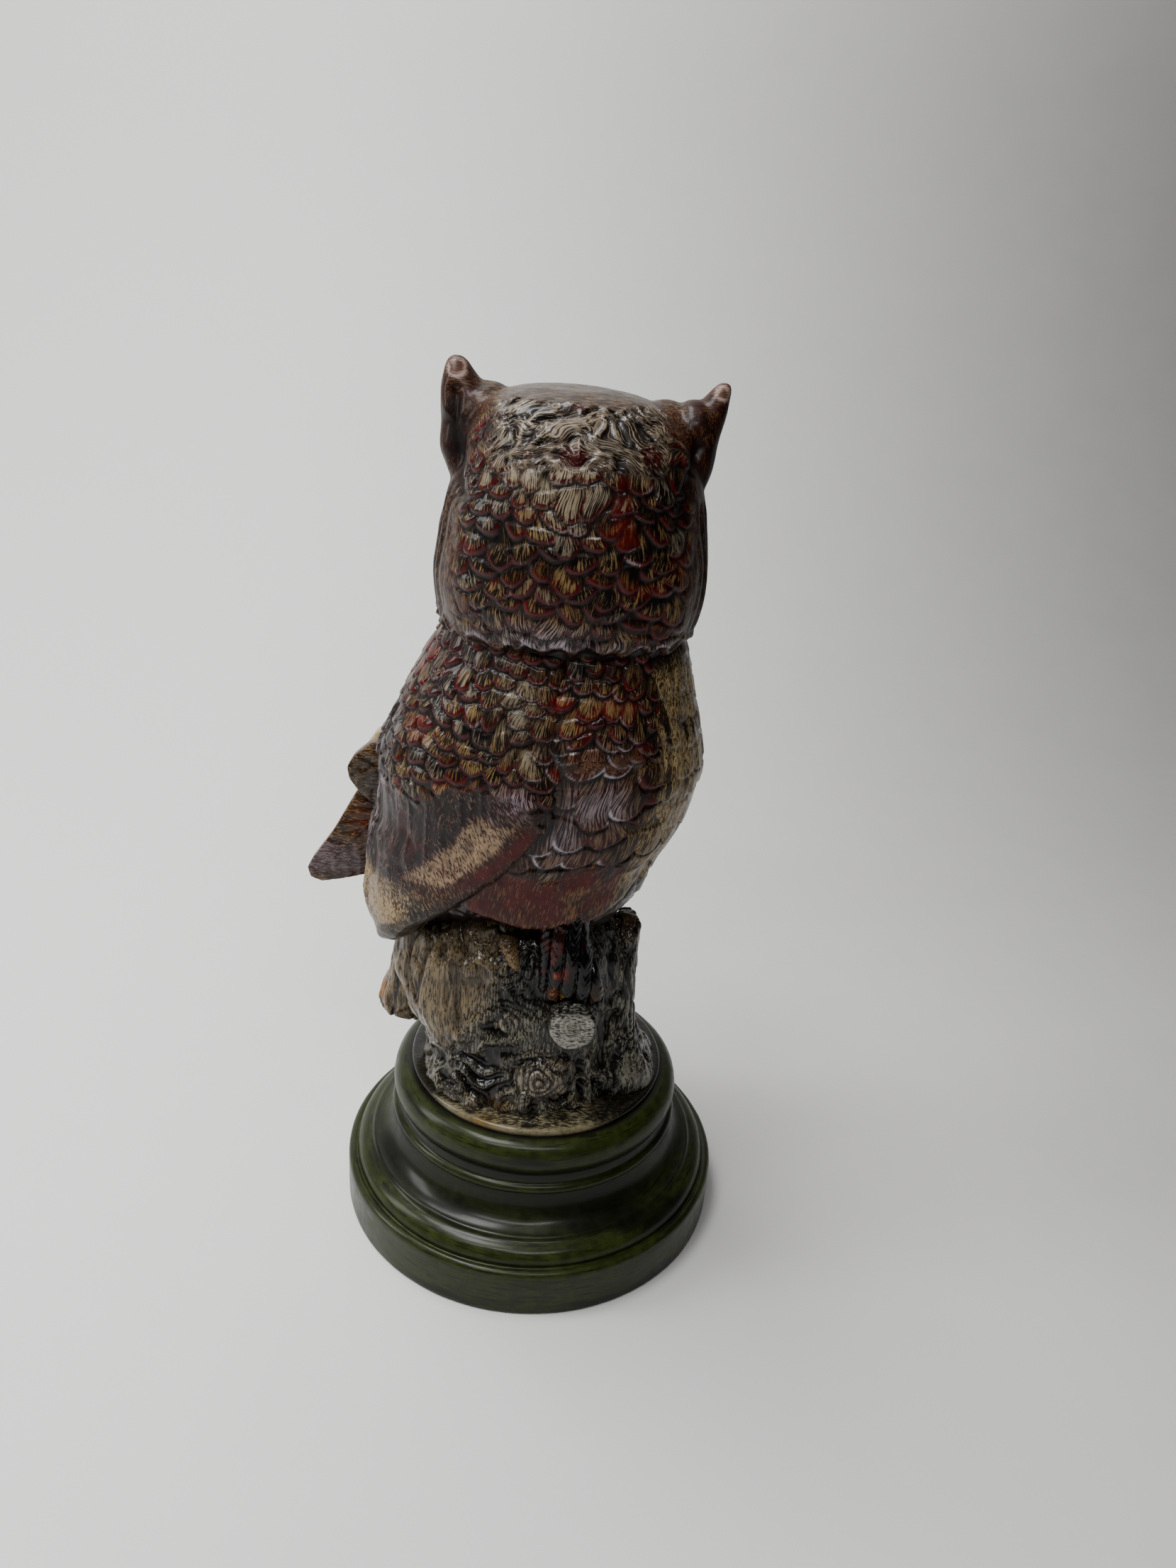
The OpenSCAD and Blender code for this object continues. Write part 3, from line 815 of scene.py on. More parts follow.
stub = fused("sawn_stub", [sawn_stub()], 0.4, 3)
points, _, y, _ = places(stub)
face_centre = np.array((-11.4, 39.5, 41.0))
from_middle = np.linalg.norm((points - face_centre) * (1, 0.3, 1), axis=1) + 0.5 * noise(points, 3, 8)
on_face = ease((y - 38.2) / 0.8) * ease((8.0 - from_middle) / 0.8)
year_rings = np.sin(from_middle * math.tau / 1.7)
side_height, side_groove = bark(points, [], 0.7)
sawn_height = 0.14 * year_rings + 0.22 * lumpy(points, (3, 3, 1.2), 9)
carve(stub, on_face * sawn_height + (1 - on_face) * 0.6 * side_height)
paint = bark_paint(points, side_groove * (1 - on_face), SLATE, ASH, 0.5)
paint.wash(on_face, tint=(96, 94, 86), brush=(186, 184, 174), amount=0.6)
paint.wash(on_face * ease(-year_rings) * ease((6.4 - from_middle) / 2), dark=0.3)
paint.wash(bell(points, (-11.4, 39, 40.9), (3, 4, 2.4)), tint=(112, 98, 60), dark=0.2)
paint.wash(ease((from_middle - 6.8) / 1.4), dark=0.55)
SAWN = antique("sawn_wood_paint", stroke=(1.8, 0.6, 0.4), gloss=0.4)
finish_piece(stub, "branch_stub", SAWN, paint)

for name, node, place, size, knot in (
        ("low_knot", "root_knot", (-2.3, 31, 16.5), (12, 9.8, 11), ((-2.3, 39, 17.5), 11)),
        ("side_knot_bark", "side_knot", (9.4, 30.5, 38), (7.5, 6.6, 8.5), ((9.4, 36, 38.5), 8))):
    lump, points, groove = barked(name, [ball(place, size)], 0.45, 4, [knot], 0.6, 0.8)
    paint = bark_paint(points, groove, (88, 80, 70), (178, 166, 146), 0.6)
    paint.wash(bell(points, knot[0], (1.8, 4, 1.8)), dark=0.8)
    finish_piece(lump, node, BARK, paint)
print("stump and its four additions done")

# %% [markdown]
# The body is one loft. Under the wings its wall steps inwards, so that the folded wings can lie in it.
# The table's last two columns are angles round the body, counted from the owl's left side: where the
# wings meet down the back, and where the right wing's front edge lies.

# %% Body and breast
BODY = [
    [64, 14, -2, 33, 23, 30, 125], [67, 15.5, -2, 40, 28, 34, 130], [71, 16, -2, 43.2, 31, 44, 140],
    [79, 14, -1, 46.6, 35, 60, 150], [93, 11.3, 0, 48.7, 38.5, 80, 158], [106, 6.8, 0, 50.3, 40, 92, 150],
    [116, 5.2, 0, 51.6, 41, 98, 145], [126, 4.1, 0, 52.4, 41.5, 100, 143], [138, 2.8, 0, 48.8, 41, 97, 140],
    [148, 2.1, 0, 45.5, 39.5, 92, 139], [157, 1, 0, 42, 37, 92, 138], [165, 0, 0, 38.5, 34.4, 92, 137],
    [171, 0, 0, 36, 32, 92, 137]]
WING_FRONT = -32
UNDER_WING = 3.6


def column(rows, index, height):
    """One column of a table read at many heights."""
    return np.interp(height, [row[0] for row in rows], [row[index] for row in rows])


def round_body(points):
    """Angle in degrees round the body's own middle, and the distance round it in mm."""
    x = points[:, 0] - column(BODY, 1, points[:, 2])
    y = points[:, 1] - column(BODY, 2, points[:, 2])
    angle = np.degrees(np.arctan2(y, x))
    angle = np.where(angle < -120, angle + 360, angle)
    return angle, np.radians(angle) * 46


def under_wing(angle, row):
    """Steps the body's wall inwards between the wings' outer edges."""
    a = math.degrees(angle)
    return -UNDER_WING * float(ease((a - WING_FRONT) / 8) * ease((row[6] - a) / 8))


body = fused("body_breast", [loft(BODY, 96, 5, under_wing)], 0.72, 6)
points, x, y, z = places(body)
angle, around = round_body(points)
soft = feathers(around + 1.5 * noise(points, 12, 3), -z + 1.2 * noise(points, 14, 4), 10.5, 8.5, 21)
lines = noise(np.column_stack([around, y * 0, z]), (1.1, 1, 11), 71)
carve(body, 0.75 * soft["height"] + 0.28 * lines + 0.5 * lumpy(points, 14, 33, 2))
CREAM = (196, 176, 136)
paint = Paint(len(points), (96, 78, 52), CREAM, 0.62)
# darker brown under the feather tips: painted shadow
paint.wash(soft["hollow"] * 0.7, tint=(96, 74, 52), amount=0.35)
paint.wash(soft["rim"] * ease((soft["own"] - 0.35) * 3), tint=(118, 90, 60), amount=0.5)
# darker just under the head: painted shade below its overhang
paint.wash(ease((z - 160) / 6), dark=0.7, amount=0.2)
paint.wash(ease((92 - z) / 8) * ease((y - 8) / 8), tint=(44, 26, 22), brush=(104, 76, 58), amount=0.28,
           dark=0.3)
near_wing = ease((angle - 128) / 8) * ease((176 - angle) / 22)
paint.wash(near_wing * (0.5 + 0.5 * lumpy(points, 9, 35)), tint=(92, 66, 44), amount=0.56)
paint.wash(near_wing * ease(2.6 * noise(points, (2.2, 2.2, 16), 89) - 0.3), dark=0.7, amount=0.25)
BREAST = antique("breast_paint", stroke=(0.4, 0.4, 3.2), gloss=0.36)
finish_piece(body, "body", BREAST, paint)

# %% [markdown]
# A folded wing is a sheet bent round the body. A grid is laid on the body's outline between two edges,
# pulled in at its rim, and extruded inwards to give it a wall. The left wing lies over the right one.

# %% Wings
WING_L = [
    [54.4, 14, 0, 38.6, 30, 2, 14], [56.8, 14, 0, 42.6, 31, -12, 23], [60.2, 14, 0, 45.6, 33, -22, 32],
    [64.6, 14.5, 0, 46.8, 35, -28, 40], [71, 15.5, 0, 46.7, 36, -30, 49], [79, 14, 0, 47.5, 37, -32, 62],
    [93, 11.3, 0, 48.9, 38.5, -32, 81], [106, 6.8, 0, 50.3, 40, -32, 90], [116, 5.2, 0, 51.4, 41, -32, 95],
    [126, 4.1, 0, 52.2, 41.5, -32, 98], [138, 2.8, 0, 48.6, 41, -32, 97], [148, 2.1, 0, 45.3, 39.5, -30, 93],
    [157, 1, 0, 42, 37, -26, 92], [165, 0, 0, 38.6, 34.6, -20, 92],
    [171, 0, 0, 36.6, 32.6, -18, 92]]
WING_R = [
    [75.5, 13, 0, 43.5, 35.5, 98, 118], [78, 13.5, 0, 46.3, 36.6, 84, 138], [83, 13, 0, 47.4, 37.2, 68, 150],
    [93, 11.3, 0, 48.7, 38.5, 70, 158], [106, 6.8, 0, 50.3, 40, 82, 152], [116, 5.2, 0, 51.6, 41, 88, 146],
    [126, 4.1, 0, 52.4, 41.5, 90, 143], [138, 2.8, 0, 48.8, 41, 88, 140], [148, 2.1, 0, 45.5, 39.5, 88, 139],
    [157, 1, 0, 42, 37, 90, 138], [165, 0, 0, 38.6, 34.6, 91, 137],
    [171, 0, 0, 36.6, 32.6, 91, 137]]


def wing_sheet(rows, lift, wall, cols=90, steps=150):
    """A wing between its two edges; lift(s, row) stands it off the body, s runs from 0 to 1 across it."""
    bm = bmesh.new()
    bmesh.ops.create_grid(bm, x_segments=cols, y_segments=steps, size=0.5)
    places = {}
    for v in bm.verts:
        s, t = v.co.x + 0.5, round(v.co.y + 0.5, 5)
        if t not in places:
            places[t] = station(rows, t * (len(rows) - 1))
        row = places[t]
        a = math.radians(row[5] + (row[6] - row[5]) * s)
        rim = (1 - abs(2 * s - 1) ** 7) ** 0.5 if 0 < s < 1 else 0
        r = oval_radius(row[3], row[4], a) + lift(s, row) - 2.6 * (1 - rim)
        v.co = (row[1] + r * math.cos(a), row[2] + r * math.sin(a), row[0])
    grown = bmesh.ops.extrude_face_region(bm, geom=bm.faces[:], use_keep_orig=True)["geom"]
    for v in (g for g in grown if isinstance(g, bmesh.types.BMVert)):
        x, y = column(BODY, 1, v.co.z), column(BODY, 2, v.co.z)
        inward = Vector((v.co.x - x, v.co.y - y, 0)).normalized() * wall(v.co.z)
        v.co -= inward
    bmesh.ops.recalc_face_normals(bm, faces=bm.faces[:])
    return bm


def left_lift(s, row):
    """The left wing's lower inner edge stands up over the right wing."""
    lower = float(ease((142 - row[0]) / 22))
    return 0.5 + lower * 2.4 * float(ease((s - 0.72) / 0.2)) + 0.8 * lower * math.sin(math.pi * s)


# %% [markdown]
# The left wing has small feathers above, long quills at its front edge, a smooth dark part below and a cream
# end. Each zone is a soft mask worked out from the height and from the distance to the crease.

# %% Left wing
left_sheet = wing_sheet(WING_L, left_lift, lambda z: 5.5 if z > 70 else 9.5)
wing_left = fused("wing_left_feathers", [left_sheet], 0.58, 5)
points, x, y, z = places(wing_left)
angle, around = round_body(points)
from_crease = (column(BODY, 5, z) - angle) * 0.8
warp = 2.2 * noise(points, 9, 5)
scale = feathers(around + warp, -z - 0.10 * around + 2.4 * noise(points, 10, 6), 7.6, 5.0, 4)
smooth_top = np.interp(from_crease, [0, 6, 16, 25, 36, 45, 60], [108, 115, 126, 124, 125, 116, 117])
scaled = ease((z - smooth_top - 2.5 * noise(points, 7, 13) + 2) / 4)
bent = np.column_stack([around + 0.10 * z + 1.2 * noise(points, 12, 9), around * 0, z])
quills = 1 - 3.2 * np.abs(noise(bent, (3.4, 1, 26), 10))
quill_zone = ease((30 - angle) / 12) * ease((150 - z) / 14) * ease((z - 62) / 12)
quill_zone = np.maximum(quill_zone, 0.3 * (1 - scaled) * ease((z - 70) / 14) * ease((from_crease - 14) / 10))
swirl = lumpy(points + 2.0 * wobble(points, 7, 1), 6.5, 8)
carve(wing_left, 1.25 * scaled * scale["height"] + 0.8 * quill_zone * np.maximum(quills, -0.6)
      + 0.14 * scaled * scale["streak"] + (1 - scaled) * 0.35 * swirl + 0.4 * lumpy(points, 16, 11, 2))
MAROON = (112, 11, 9)
RUST = (74, 30, 18)
UMBER = (34, 22, 16)
STRAW = (164, 138, 98)
LILAC = (176, 166, 178)
MAUVE = (42, 21, 23)


def feather_paint(points, scale, scaled, rim=MAROON, brush=STRAW, amount=0.52):
    """Brown feathers: painted shadow under the tips, maroon rims, straw-coloured brush marks that fan out,
    and lilac glints.
    """
    paint = Paint(len(points), UMBER, brush, 0.4)
    patch = 0.5 + 0.5 * lumpy(points, (11, 11, 11), 77)
    own, streak = scale["own"], scale["streak"]
    paint.wash(ease((patch - 0.5) * 2.4), tint=RUST)
    paint.wash(scaled * ease(3.2 * noise(points, 7, 79) - 1.2), tint=rim, amount=0.4)
    paint.wash(scaled * scale["mid"] * (0.5 + 0.7 * own), amount=amount)
    paint.wash(scaled * ease((own - 0.72) * 5), brush=(152, 140, 122))
    paint.wash(scaled * ease((0.3 - own) * 5), brush=(138, 98, 58))
    paint.amount += scaled * (0.14 * streak - 0.14 * ease((0.5 - patch) * 3))
    paint.dark += scaled * 0.25 * ease(-1.6 * streak - 0.1)
    paint.wash(scaled * scale["rim"] * (0.5 + 0.9 * patch), tint=rim, amount=0.1, dark=0.0)
    # painted shadow under the tips of the row above
    paint.wash(scaled * scale["hollow"], dark=0.94, amount=0.14)
    # lilac along some feather ends: partly dry-brush, partly painted highlight
    glint = ease(2.2 * noise(points, 6, 78) - 0.6)
    paint.wash(scaled * scale["edge"] * glint, brush=LILAC, amount=0.7)
    return paint


paint = feather_paint(points, scale, scaled)
smooth_part = 1 - scaled
paint.wash(smooth_part, tint=MAUVE, brush=(118, 84, 72), amount=0.24)
worn = smooth_part * ease(lumpy(points, 5, 81) * 1.6)
paint.wash(worn, brush=(146, 116, 88), amount=0.4)
paint.wash(smooth_part * ease(lumpy(points, 6, 82) * 2 - 0.4), tint=(78, 16, 16))
paint.wash(quill_zone, tint=(54, 34, 33), brush=(130, 114, 110), amount=0.34)
paint.wash(quill_zone * ease(-quills * 1.2), dark=0.6)
# pale lilac on the quill ridges: partly dry-brush, partly painted highlight
paint.wash(quill_zone * ease(quills * 2 - 0.9), brush=(176, 164, 168), amount=0.62)
inner = ease((15 - from_crease) / 4) * smooth_part
paint.wash(inner, tint=(66, 28, 24), brush=(140, 112, 84), amount=0.42)
band = ease((from_crease - 10.5) / 3) * ease((29 - from_crease) / 4) * ease((119 - z) / 6)
band = band * ease((z - 86) / 6) * ease(1.3 + 0.8 * lumpy(points, 5, 85))
paint.wash(band, tint=(96, 62, 48), brush=(188, 164, 136), amount=0.62)
paint.wash(bell(points, (11, 42, 124), (9, 9, 7)), tint=(92, 44, 48), brush=LILAC, amount=0.5)
red_line = line_at(from_crease, 6.5, 3.6) * ease((118 - z) / 8) * ease((z - 88) / 8)
paint.wash(red_line, tint=(112, 14, 14), amount=0.2)
lobe = ease((90 - z - 0.05 * angle) / 8) * ease((64 - angle) / 12)
paint.wash(lobe, tint=(116, 94, 70), brush=(188, 168, 134), amount=0.62, dark=0.0)
paint.wash(lobe * ease(lumpy(points, 8, 86) * 1.6 + 0.1), tint=(76, 52, 42), amount=0.42)
paint.wash(ease((88 - z) / 10) * ease((angle - 40) / 14) * smooth_part, tint=(50, 36, 30), amount=0.34,
           dark=0.3)
# dark along the wing's edge at the crease: painted shadow in the crease over the right wing
paint.wash(ease((1.6 - from_crease) / 2) * ease((150 - z) / 10), dark=0.75)
paint.wash(bell(points, (0.3, 40, 153), (5, 9, 4)), tint=(140, 14, 10), amount=0.1)
pale = bell(points, (13, 38, 152), (9, 9, 15)) + 0.8 * bell(points, (8, 40, 138), (8, 9, 8))
paint.wash(pale * scale["mid"], brush=(178, 168, 148), tint=(84, 74, 62), amount=0.62)
# whiter along the feather ends in the pale patch: partly dry-brush, partly painted highlight
paint.wash(pale * scale["edge"], brush=(190, 182, 168), amount=0.7)
# darker in patches just under the head: painted shade below its overhang
paint.wash(ease((z - 158) / 6) * (0.35 + 0.7 * lumpy(points, 7, 36)), dark=0.8, amount=0.2)
slanted = np.column_stack([(x - 0.55 * z) / 0.5, y / 0.7, (z + 0.55 * x) / 2.4])
upright = np.column_stack([around / 0.42, y / 4, z / 3.0]) + 2.0 * noise(points, 6, 87)[:, None]
comb(wing_left, np.where((from_crease < 34)[:, None], slanted, upright), scale, scaled)
PLUMAGE = antique("wing_paint", gloss=0.42, coat=0.26, coat_rough=0.1, flow=True)
finish_piece(wing_left, "wing_left", PLUMAGE, paint)

# %% [markdown]
# Less of the right wing shows. Its lower feathers are larger, with pale lilac along their ends, partly
# dry-brushed and partly a painted highlight.

# %% Right wing
right_sheet = wing_sheet(WING_R, lambda s, row: 0.2, lambda z: 5.0, 60, 120)
wing_right = fused("wing_right_feathers", [right_sheet], 0.52, 5)
points, _, y, z = places(wing_right)
angle, around = round_body(points)
from_crease = (angle - column(BODY, 5, z)) * 0.8
scale = feathers(around + 2.6 * noise(points, 11, 15), -z + 0.12 * around + 3.2 * noise(points, 12, 16),
                 11.4, 9.0, 6)
small = feathers(around + 2.0 * noise(points, 11, 15), -z + 2.4 * noise(points, 12, 16), 7.6, 5.0, 4)
upper = ease((z - 134) / 5)
for key in scale:
    scale[key] = scale[key] * (1 - upper) + small[key] * upper
scaled = ease((z - 94 - 4 * noise(points, 9, 18)) / 8)
carve(wing_right, scaled * (1.5 * scale["height"] + 0.14 * scale["streak"]) + 0.4 * lumpy(points, 15, 12, 2)
      + (1 - scaled) * 0.3 * lumpy(points, 5, 14))
paint = feather_paint(points, scale, scaled)
patch = ease(0.5 + lumpy(points, 8, 83))
paint.wash((1 - scaled), tint=(108, 14, 12), brush=(160, 118, 84), amount=0.24)
paint.wash((1 - scaled) * patch, tint=(70, 40, 32), amount=0.5)
lilac_zone = ease((146 - z) / 6) * ease((z - 96) / 10) * ease((130 - angle) / 8)
broken = ease(0.75 + 1.5 * noise(points, 7, 84))
paint.wash(lilac_zone * scale["mid"], brush=(150, 122, 100), tint=(84, 36, 30), amount=0.5)
FUZZY = (((-8.6, 41, 123), 8), ((-18, 39, 124), 7), ((-3, 41, 112), 8))
fuzz = sum(bell(points, place, (wide, 9, 9)) for place, wide in FUZZY)
paint.wash(fuzz * (0.3 + 0.5 * scale["mid"]), brush=(186, 176, 184), tint=(84, 62, 68), amount=0.5)
# near-white lilac along broken stretches of the feather ends: partly dry-brush, partly painted highlight on
# the raised ends
ridge = np.clip(lilac_zone * scale["edge"] * 1.5 * broken, 0, 1)
paint.wash(ridge, brush=(226, 220, 230), tint=(176, 164, 178), amount=0.95, dark=0.0)
paint.wash(bell(points, (-14.5, 36, 91), (11, 9, 3.6)) * patch, tint=(120, 84, 52), brush=(176, 146, 104),
           amount=0.6)
edge_of_breast = 135 + 5 * noise(points, (9, 9, 12), 88)
paint.wash(ease((angle - edge_of_breast) / 6), tint=(104, 76, 50), brush=CREAM, amount=0.54)
strokes = ease(2.6 * noise(points, (2.2, 2.2, 16), 89) - 0.3) * ease((angle - 122) / 8)
paint.wash(strokes, dark=0.6, amount=0.3)
# near-black beside the crease: painted shadow of the overlapping left wing
paint.wash(ease((3.0 - from_crease) / 4) * ease((150 - z) / 10), dark=0.92)
# darker in patches just under the head: painted shade below its overhang
paint.wash(ease((z - 158) / 6) * (0.35 + 0.7 * lumpy(points, 7, 36)), dark=0.8, amount=0.2)
comb(wing_right, np.column_stack([around / 0.42, y / 4, z / 3.0]), scale, scaled * (angle < edge_of_breast))
finish_piece(wing_right, "wing_right", PLUMAGE, paint)

# %% [markdown]
# The tail hangs over the stump in narrow overlapping strips with stepped tips. It is nearly black and very
# shiny, with red and ochre at the ends.

# %% Tail and hind claw
TAIL = [
    [44.5, -10.5, 30.5, 5.5, 2], [47.5, -10, 31, 9.4, 4.4], [57, -9, 31, 9.8, 6.2], [69, -7, 29, 7.6, 7.5],
    [80, -7, 25, 7, 8]]
tail = fused("tail_strips", [loft(TAIL)], 0.42, 4)
points, x, _, z = places(tail)
strip = (x + 9.2 + 0.05 * (z - 60)) / 4.9
in_strip = np.abs(strip - np.round(strip)) * 2
barbs = np.sin((z - 5 * in_strip) * math.tau / 2.6)
tips = ease((z - 47 - 2.4 * np.sin(2.1 * np.round(strip) + 1) + 3.4 * in_strip**2) / 1.6)
rounded = 0.9 * (1 - in_strip**2) - 1.3 * ease((in_strip - 0.8) / 0.2)
carve(tail, rounded + 0.12 * barbs - 2.6 * (1 - tips) + 0.8 * lumpy(points, (5, 6, 8), 20))
paint = Paint(len(points), (8, 6, 6), (96, 70, 60), 0.08)
blotch = 0.5 + 0.5 * lumpy(points, (3.0, 6, 5), 19)
paint.wash(ease((z - 62) / 8) * ease((blotch - 0.5) * 3), tint=(84, 14, 14))
paint.wash(bell(points, (-5, 36, 58), (4.5, 9, 11)) * ease((blotch - 0.25) * 3), tint=(150, 36, 16),
           brush=(206, 140, 60), amount=0.5)
gold = ease((58 - z) / 7) * ease(0.5 + np.sin(2.1 * np.round(strip) + 1.2)) * ease((blotch - 0.2) * 4)
paint.wash(gold, tint=(110, 84, 26), brush=(206, 176, 84), amount=0.5)
paint.wash(ease((in_strip - 0.76) / 0.2), dark=0.95)
TAIL_GLOSS = antique("tail_paint", stroke=(0.4, 0.4, 2.2), gloss=0.3, coat=0.26, coat_rough=0.05)
finish_piece(tail, "tail", TAIL_GLOSS, paint)

claw_lumps = [ball((12.2 - 3.4 * k, 30.0 + 4.2 * k - 1.5 * k * k, 67 - 7.5 * k), (3.1 - 1.3 * k,) * 3)
              for k in np.linspace(0, 1, 7)]
claw = fused("hind_claw_horn", claw_lumps, 0.3, 3)
points, _, _, z = places(claw)
carve(claw, 0.12 * np.sin(z * math.tau / 2.2))
paint = Paint(len(points), (96, 76, 54), (170, 146, 110), 0.5)
# darker at the claw's root, where it tucks under the body: painted shade
paint.wash(ease((z - 65) / 3), dark=0.6)
HORN = antique("claw_paint", stroke=(0.3, 0.3, 1.4), gloss=0.3)
finish_piece(claw, "hind_claw", HORN, paint)

# %% [markdown]
# The front toes bend over the edge of the stump. Each is a chain of balls along a bent line, scaled across
# like the skin of a bird's foot, and ends in a claw.

# %% Front feet
SCALY = antique("foot_paint", stroke=(0.5, 0.5, 1.2), gloss=0.32)
TOE_LINE = [(0, -27, 69, 4.2), (0.5, -33, 68.4, 4.1), (0.8, -36.8, 64.5, 3.7), (1, -37.6, 59.5, 3.2),
            (1.1, -37.2, 55.6, 2.5), (1.1, -36.4, 52.6, 1.4), (1.1, -36.0, 51.2, 0.7)]


def toe(x, spread):
    """Balls that run along the toe's line; spread pushes the tip sideways."""
    chain = []
    for k in range(25):
        px, py, pz, r = station(TOE_LINE, k / 4)
        out = spread * ((k + 6) / 30)
        chain.append(ball((x + px * spread * 0.2 + out, py, pz), (r * 0.92, r, r)))
    return chain


for name, middle_toe in (("foot_left", 25), ("foot_right", 1)):
    toes = toe(middle_toe, -7) + toe(middle_toe, 0) + toe(middle_toe, 7)
    foot = fused(name + "_toes", toes, 0.42, 4)
    points, x, y, z = places(foot)
    along = y * 0.7 - z
    pads = np.abs(np.sin(along * math.tau / 5.2)) ** 0.6
    toe_part = ease((z - 55.5) / 2)
    carve(foot, toe_part * (0.45 * pads - 0.3))
    paint = Paint(len(points), (112, 78, 38), (190, 152, 88), 0.55)
    paint.wash(toe_part * (1 - ease(pads * 2.2)), dark=0.8)
    paint.wash(1 - toe_part, tint=(34, 26, 22), brush=(120, 104, 90), amount=0.3)
    finish_piece(foot, name, SCALY, paint)
print("body, wings, tail and feet done")

# %% [markdown]
# The head and both ears are modelled as one skin, because the ears grow out of the crown with no seam. The
# skin is then cut through the ears' roots and each part is closed again, so they stay separate pieces.

# %% Head and ears
HEAD = [
    [159, 0.6, 0, 33, 29], [163, 0.4, 0, 36.4, 32.6], [167, 0.1, 0, 38.2, 35], [171, -0.2, 0, 39.6, 37],
    [176, -0.5, 0, 41, 38.4], [184, -0.5, 0, 42, 39], [194, -0.8, 0, 41.3, 38.5], [204, -1, 0, 39.6, 37.5],
    [214, -1.1, 0, 37.6, 36], [223, -0.6, 0, 35, 33.5], [229.5, 0.4, -1, 31.4, 30],
    [235.5, 1.5, -2.5, 25.5, 24], [238.6, 2, -3, 15, 14], [239.4, 2, -3, 2, 2]]
EAR_L = [
    [206, 31, -3, 4, 8], [218, 32.4, -3.4, 8.6, 12], [228, 32, -3.8, 9.4, 11.6], [236, 34, -4, 7.3, 8.4],
    [241, 36, -4.4, 4.6, 5.6], [244, 36.7, -4.6, 3, 3.6], [245.4, 36.8, -4.6, 1.2, 1.4]]
EAR_R = [
    [204, -32, -3, 4, 8], [216, -33.6, -3, 7.2, 12], [226, -34.5, -3.5, 7.6, 10.6],
    [233, -37.4, -4, 6.2, 7.6], [238, -40.3, -4.4, 4, 5.2], [241.6, -42.2, -4.8, 2.6, 3.4],
    [243.2, -42.7, -4.8, 1.1, 1.4]]
BROW = [(0, -35, 201, 4), (7, -34, 206, 4.6), (16, -29, 216, 5.2), (25, -19, 227, 5.4), (30, -12, 232, 4.6)]


def brow_roll(side, drop):
    """A roll of clay from the beak's root up to one ear."""
    roll = []
    for k in range(17):
        x, y, z, r = station(BROW, k / 4)
        roll.append(ball((side * x, y, z - drop * k / 16), (r, r, r)))
    return roll


lumps = [loft(HEAD, 96), loft(EAR_L), loft(EAR_R), ball((27, -4, 229), (11, 13, 10.2)),
         ball((-29, -4, 225.5), (10.5, 13, 9.6)), ball((-34.4, -4, 229), (7.6, 10.5, 9.2)),
         ball((-26, -6, 230), (9, 12, 7.4))]
head = fused("head_feathers", lumps + brow_roll(1, 0) + brow_roll(-1, 3), 0.6, 12)
points, normals = figure_points(head)
x, y, z = points.T
turn = np.pi / 2 - np.arctan2(y, x)
turn = np.where(turn > np.pi, turn - math.tau, turn)
top = ease((z - 215) / 14)
down = 36 * np.arctan2(y + 4, np.maximum(z - 203, 0.01)) + np.maximum(203 - z, 0)
across = (turn * 40) * (1 - top) + x * 1.05 * top
wild = 2.0 * noise(points, 9, 41) + (0.8 + 2.2 * top) * noise(points, 6, 42)
scale = feathers(across + wild, down + 2.6 * noise(points, 9, 43) + 2.0 * top * noise(points, 7, 44),
                 8.2, 5.0, 9)
back = ease((y - 9) / 11)
back_x = ease((36 - np.abs(x + 1)) / 5)
strip = ease((z - 235.2 - 1.2 * noise(points, 8, 57)) / 1.2)
tuft = ease((z - 218.5 - 2 * noise(points, 7, 58)) / 3) * (1 - strip)
tuft = tuft * ease((y - 6) / 4) * ease((27 - np.abs(x + 1)) / 5)
scaled = back * back_x * ease((z - 169) / 3) * (1 - tuft) * (1 - strip)
combed_down = down - 0.012 * x**2 + 3.4 * noise(points, 6, 66)
combed = np.column_stack([x + 3.4 * noise(points, 6, 65), combed_down, z * 0])
locks = 1 - 2.3 * np.abs(noise(combed, (4.6, 2.6, 1), 47))
wisps = 1 - 2.2 * np.abs(noise(combed, (3.2, 1.3, 1), 48))
side = ease((np.abs(x) - 33) / 3) * ease((214 - z) / 8) * ease((y + 24) / 8) * ease((22 - y) / 10)
ribs = np.sin((np.degrees(turn) + 4 * noise(points, 12, 49)) * math.tau / 8.5)
hem = 170.8 + 1.2 * np.sin(across / 8.7 * math.tau + 2.6 * noise(points, 9, 50)) + 2.0 * noise(points, 8, 51)
hem_edge = line_at(z, hem, 0.9) * ease((y + 6) / 10)
under_hem = ease((hem - 1.2 - z) / 1.4)


def near_line(points, path, width):
    """1 on a bent line in the figure's width and height, fading to the sides; width may change along it."""
    best = np.zeros(len(points))
    for (x0, z0), (x1, z1), w in zip(path, path[1:], width):
        run = np.array([x1 - x0, z1 - z0], float)
        off = points[:, [0, 2]] - (x0, z0)
        t = np.clip(off @ run / (run @ run), 0, 1)
        d = np.linalg.norm(off - t[:, None] * run, axis=1)
        best = np.maximum(best, line_at(d, 0, w))
    return best


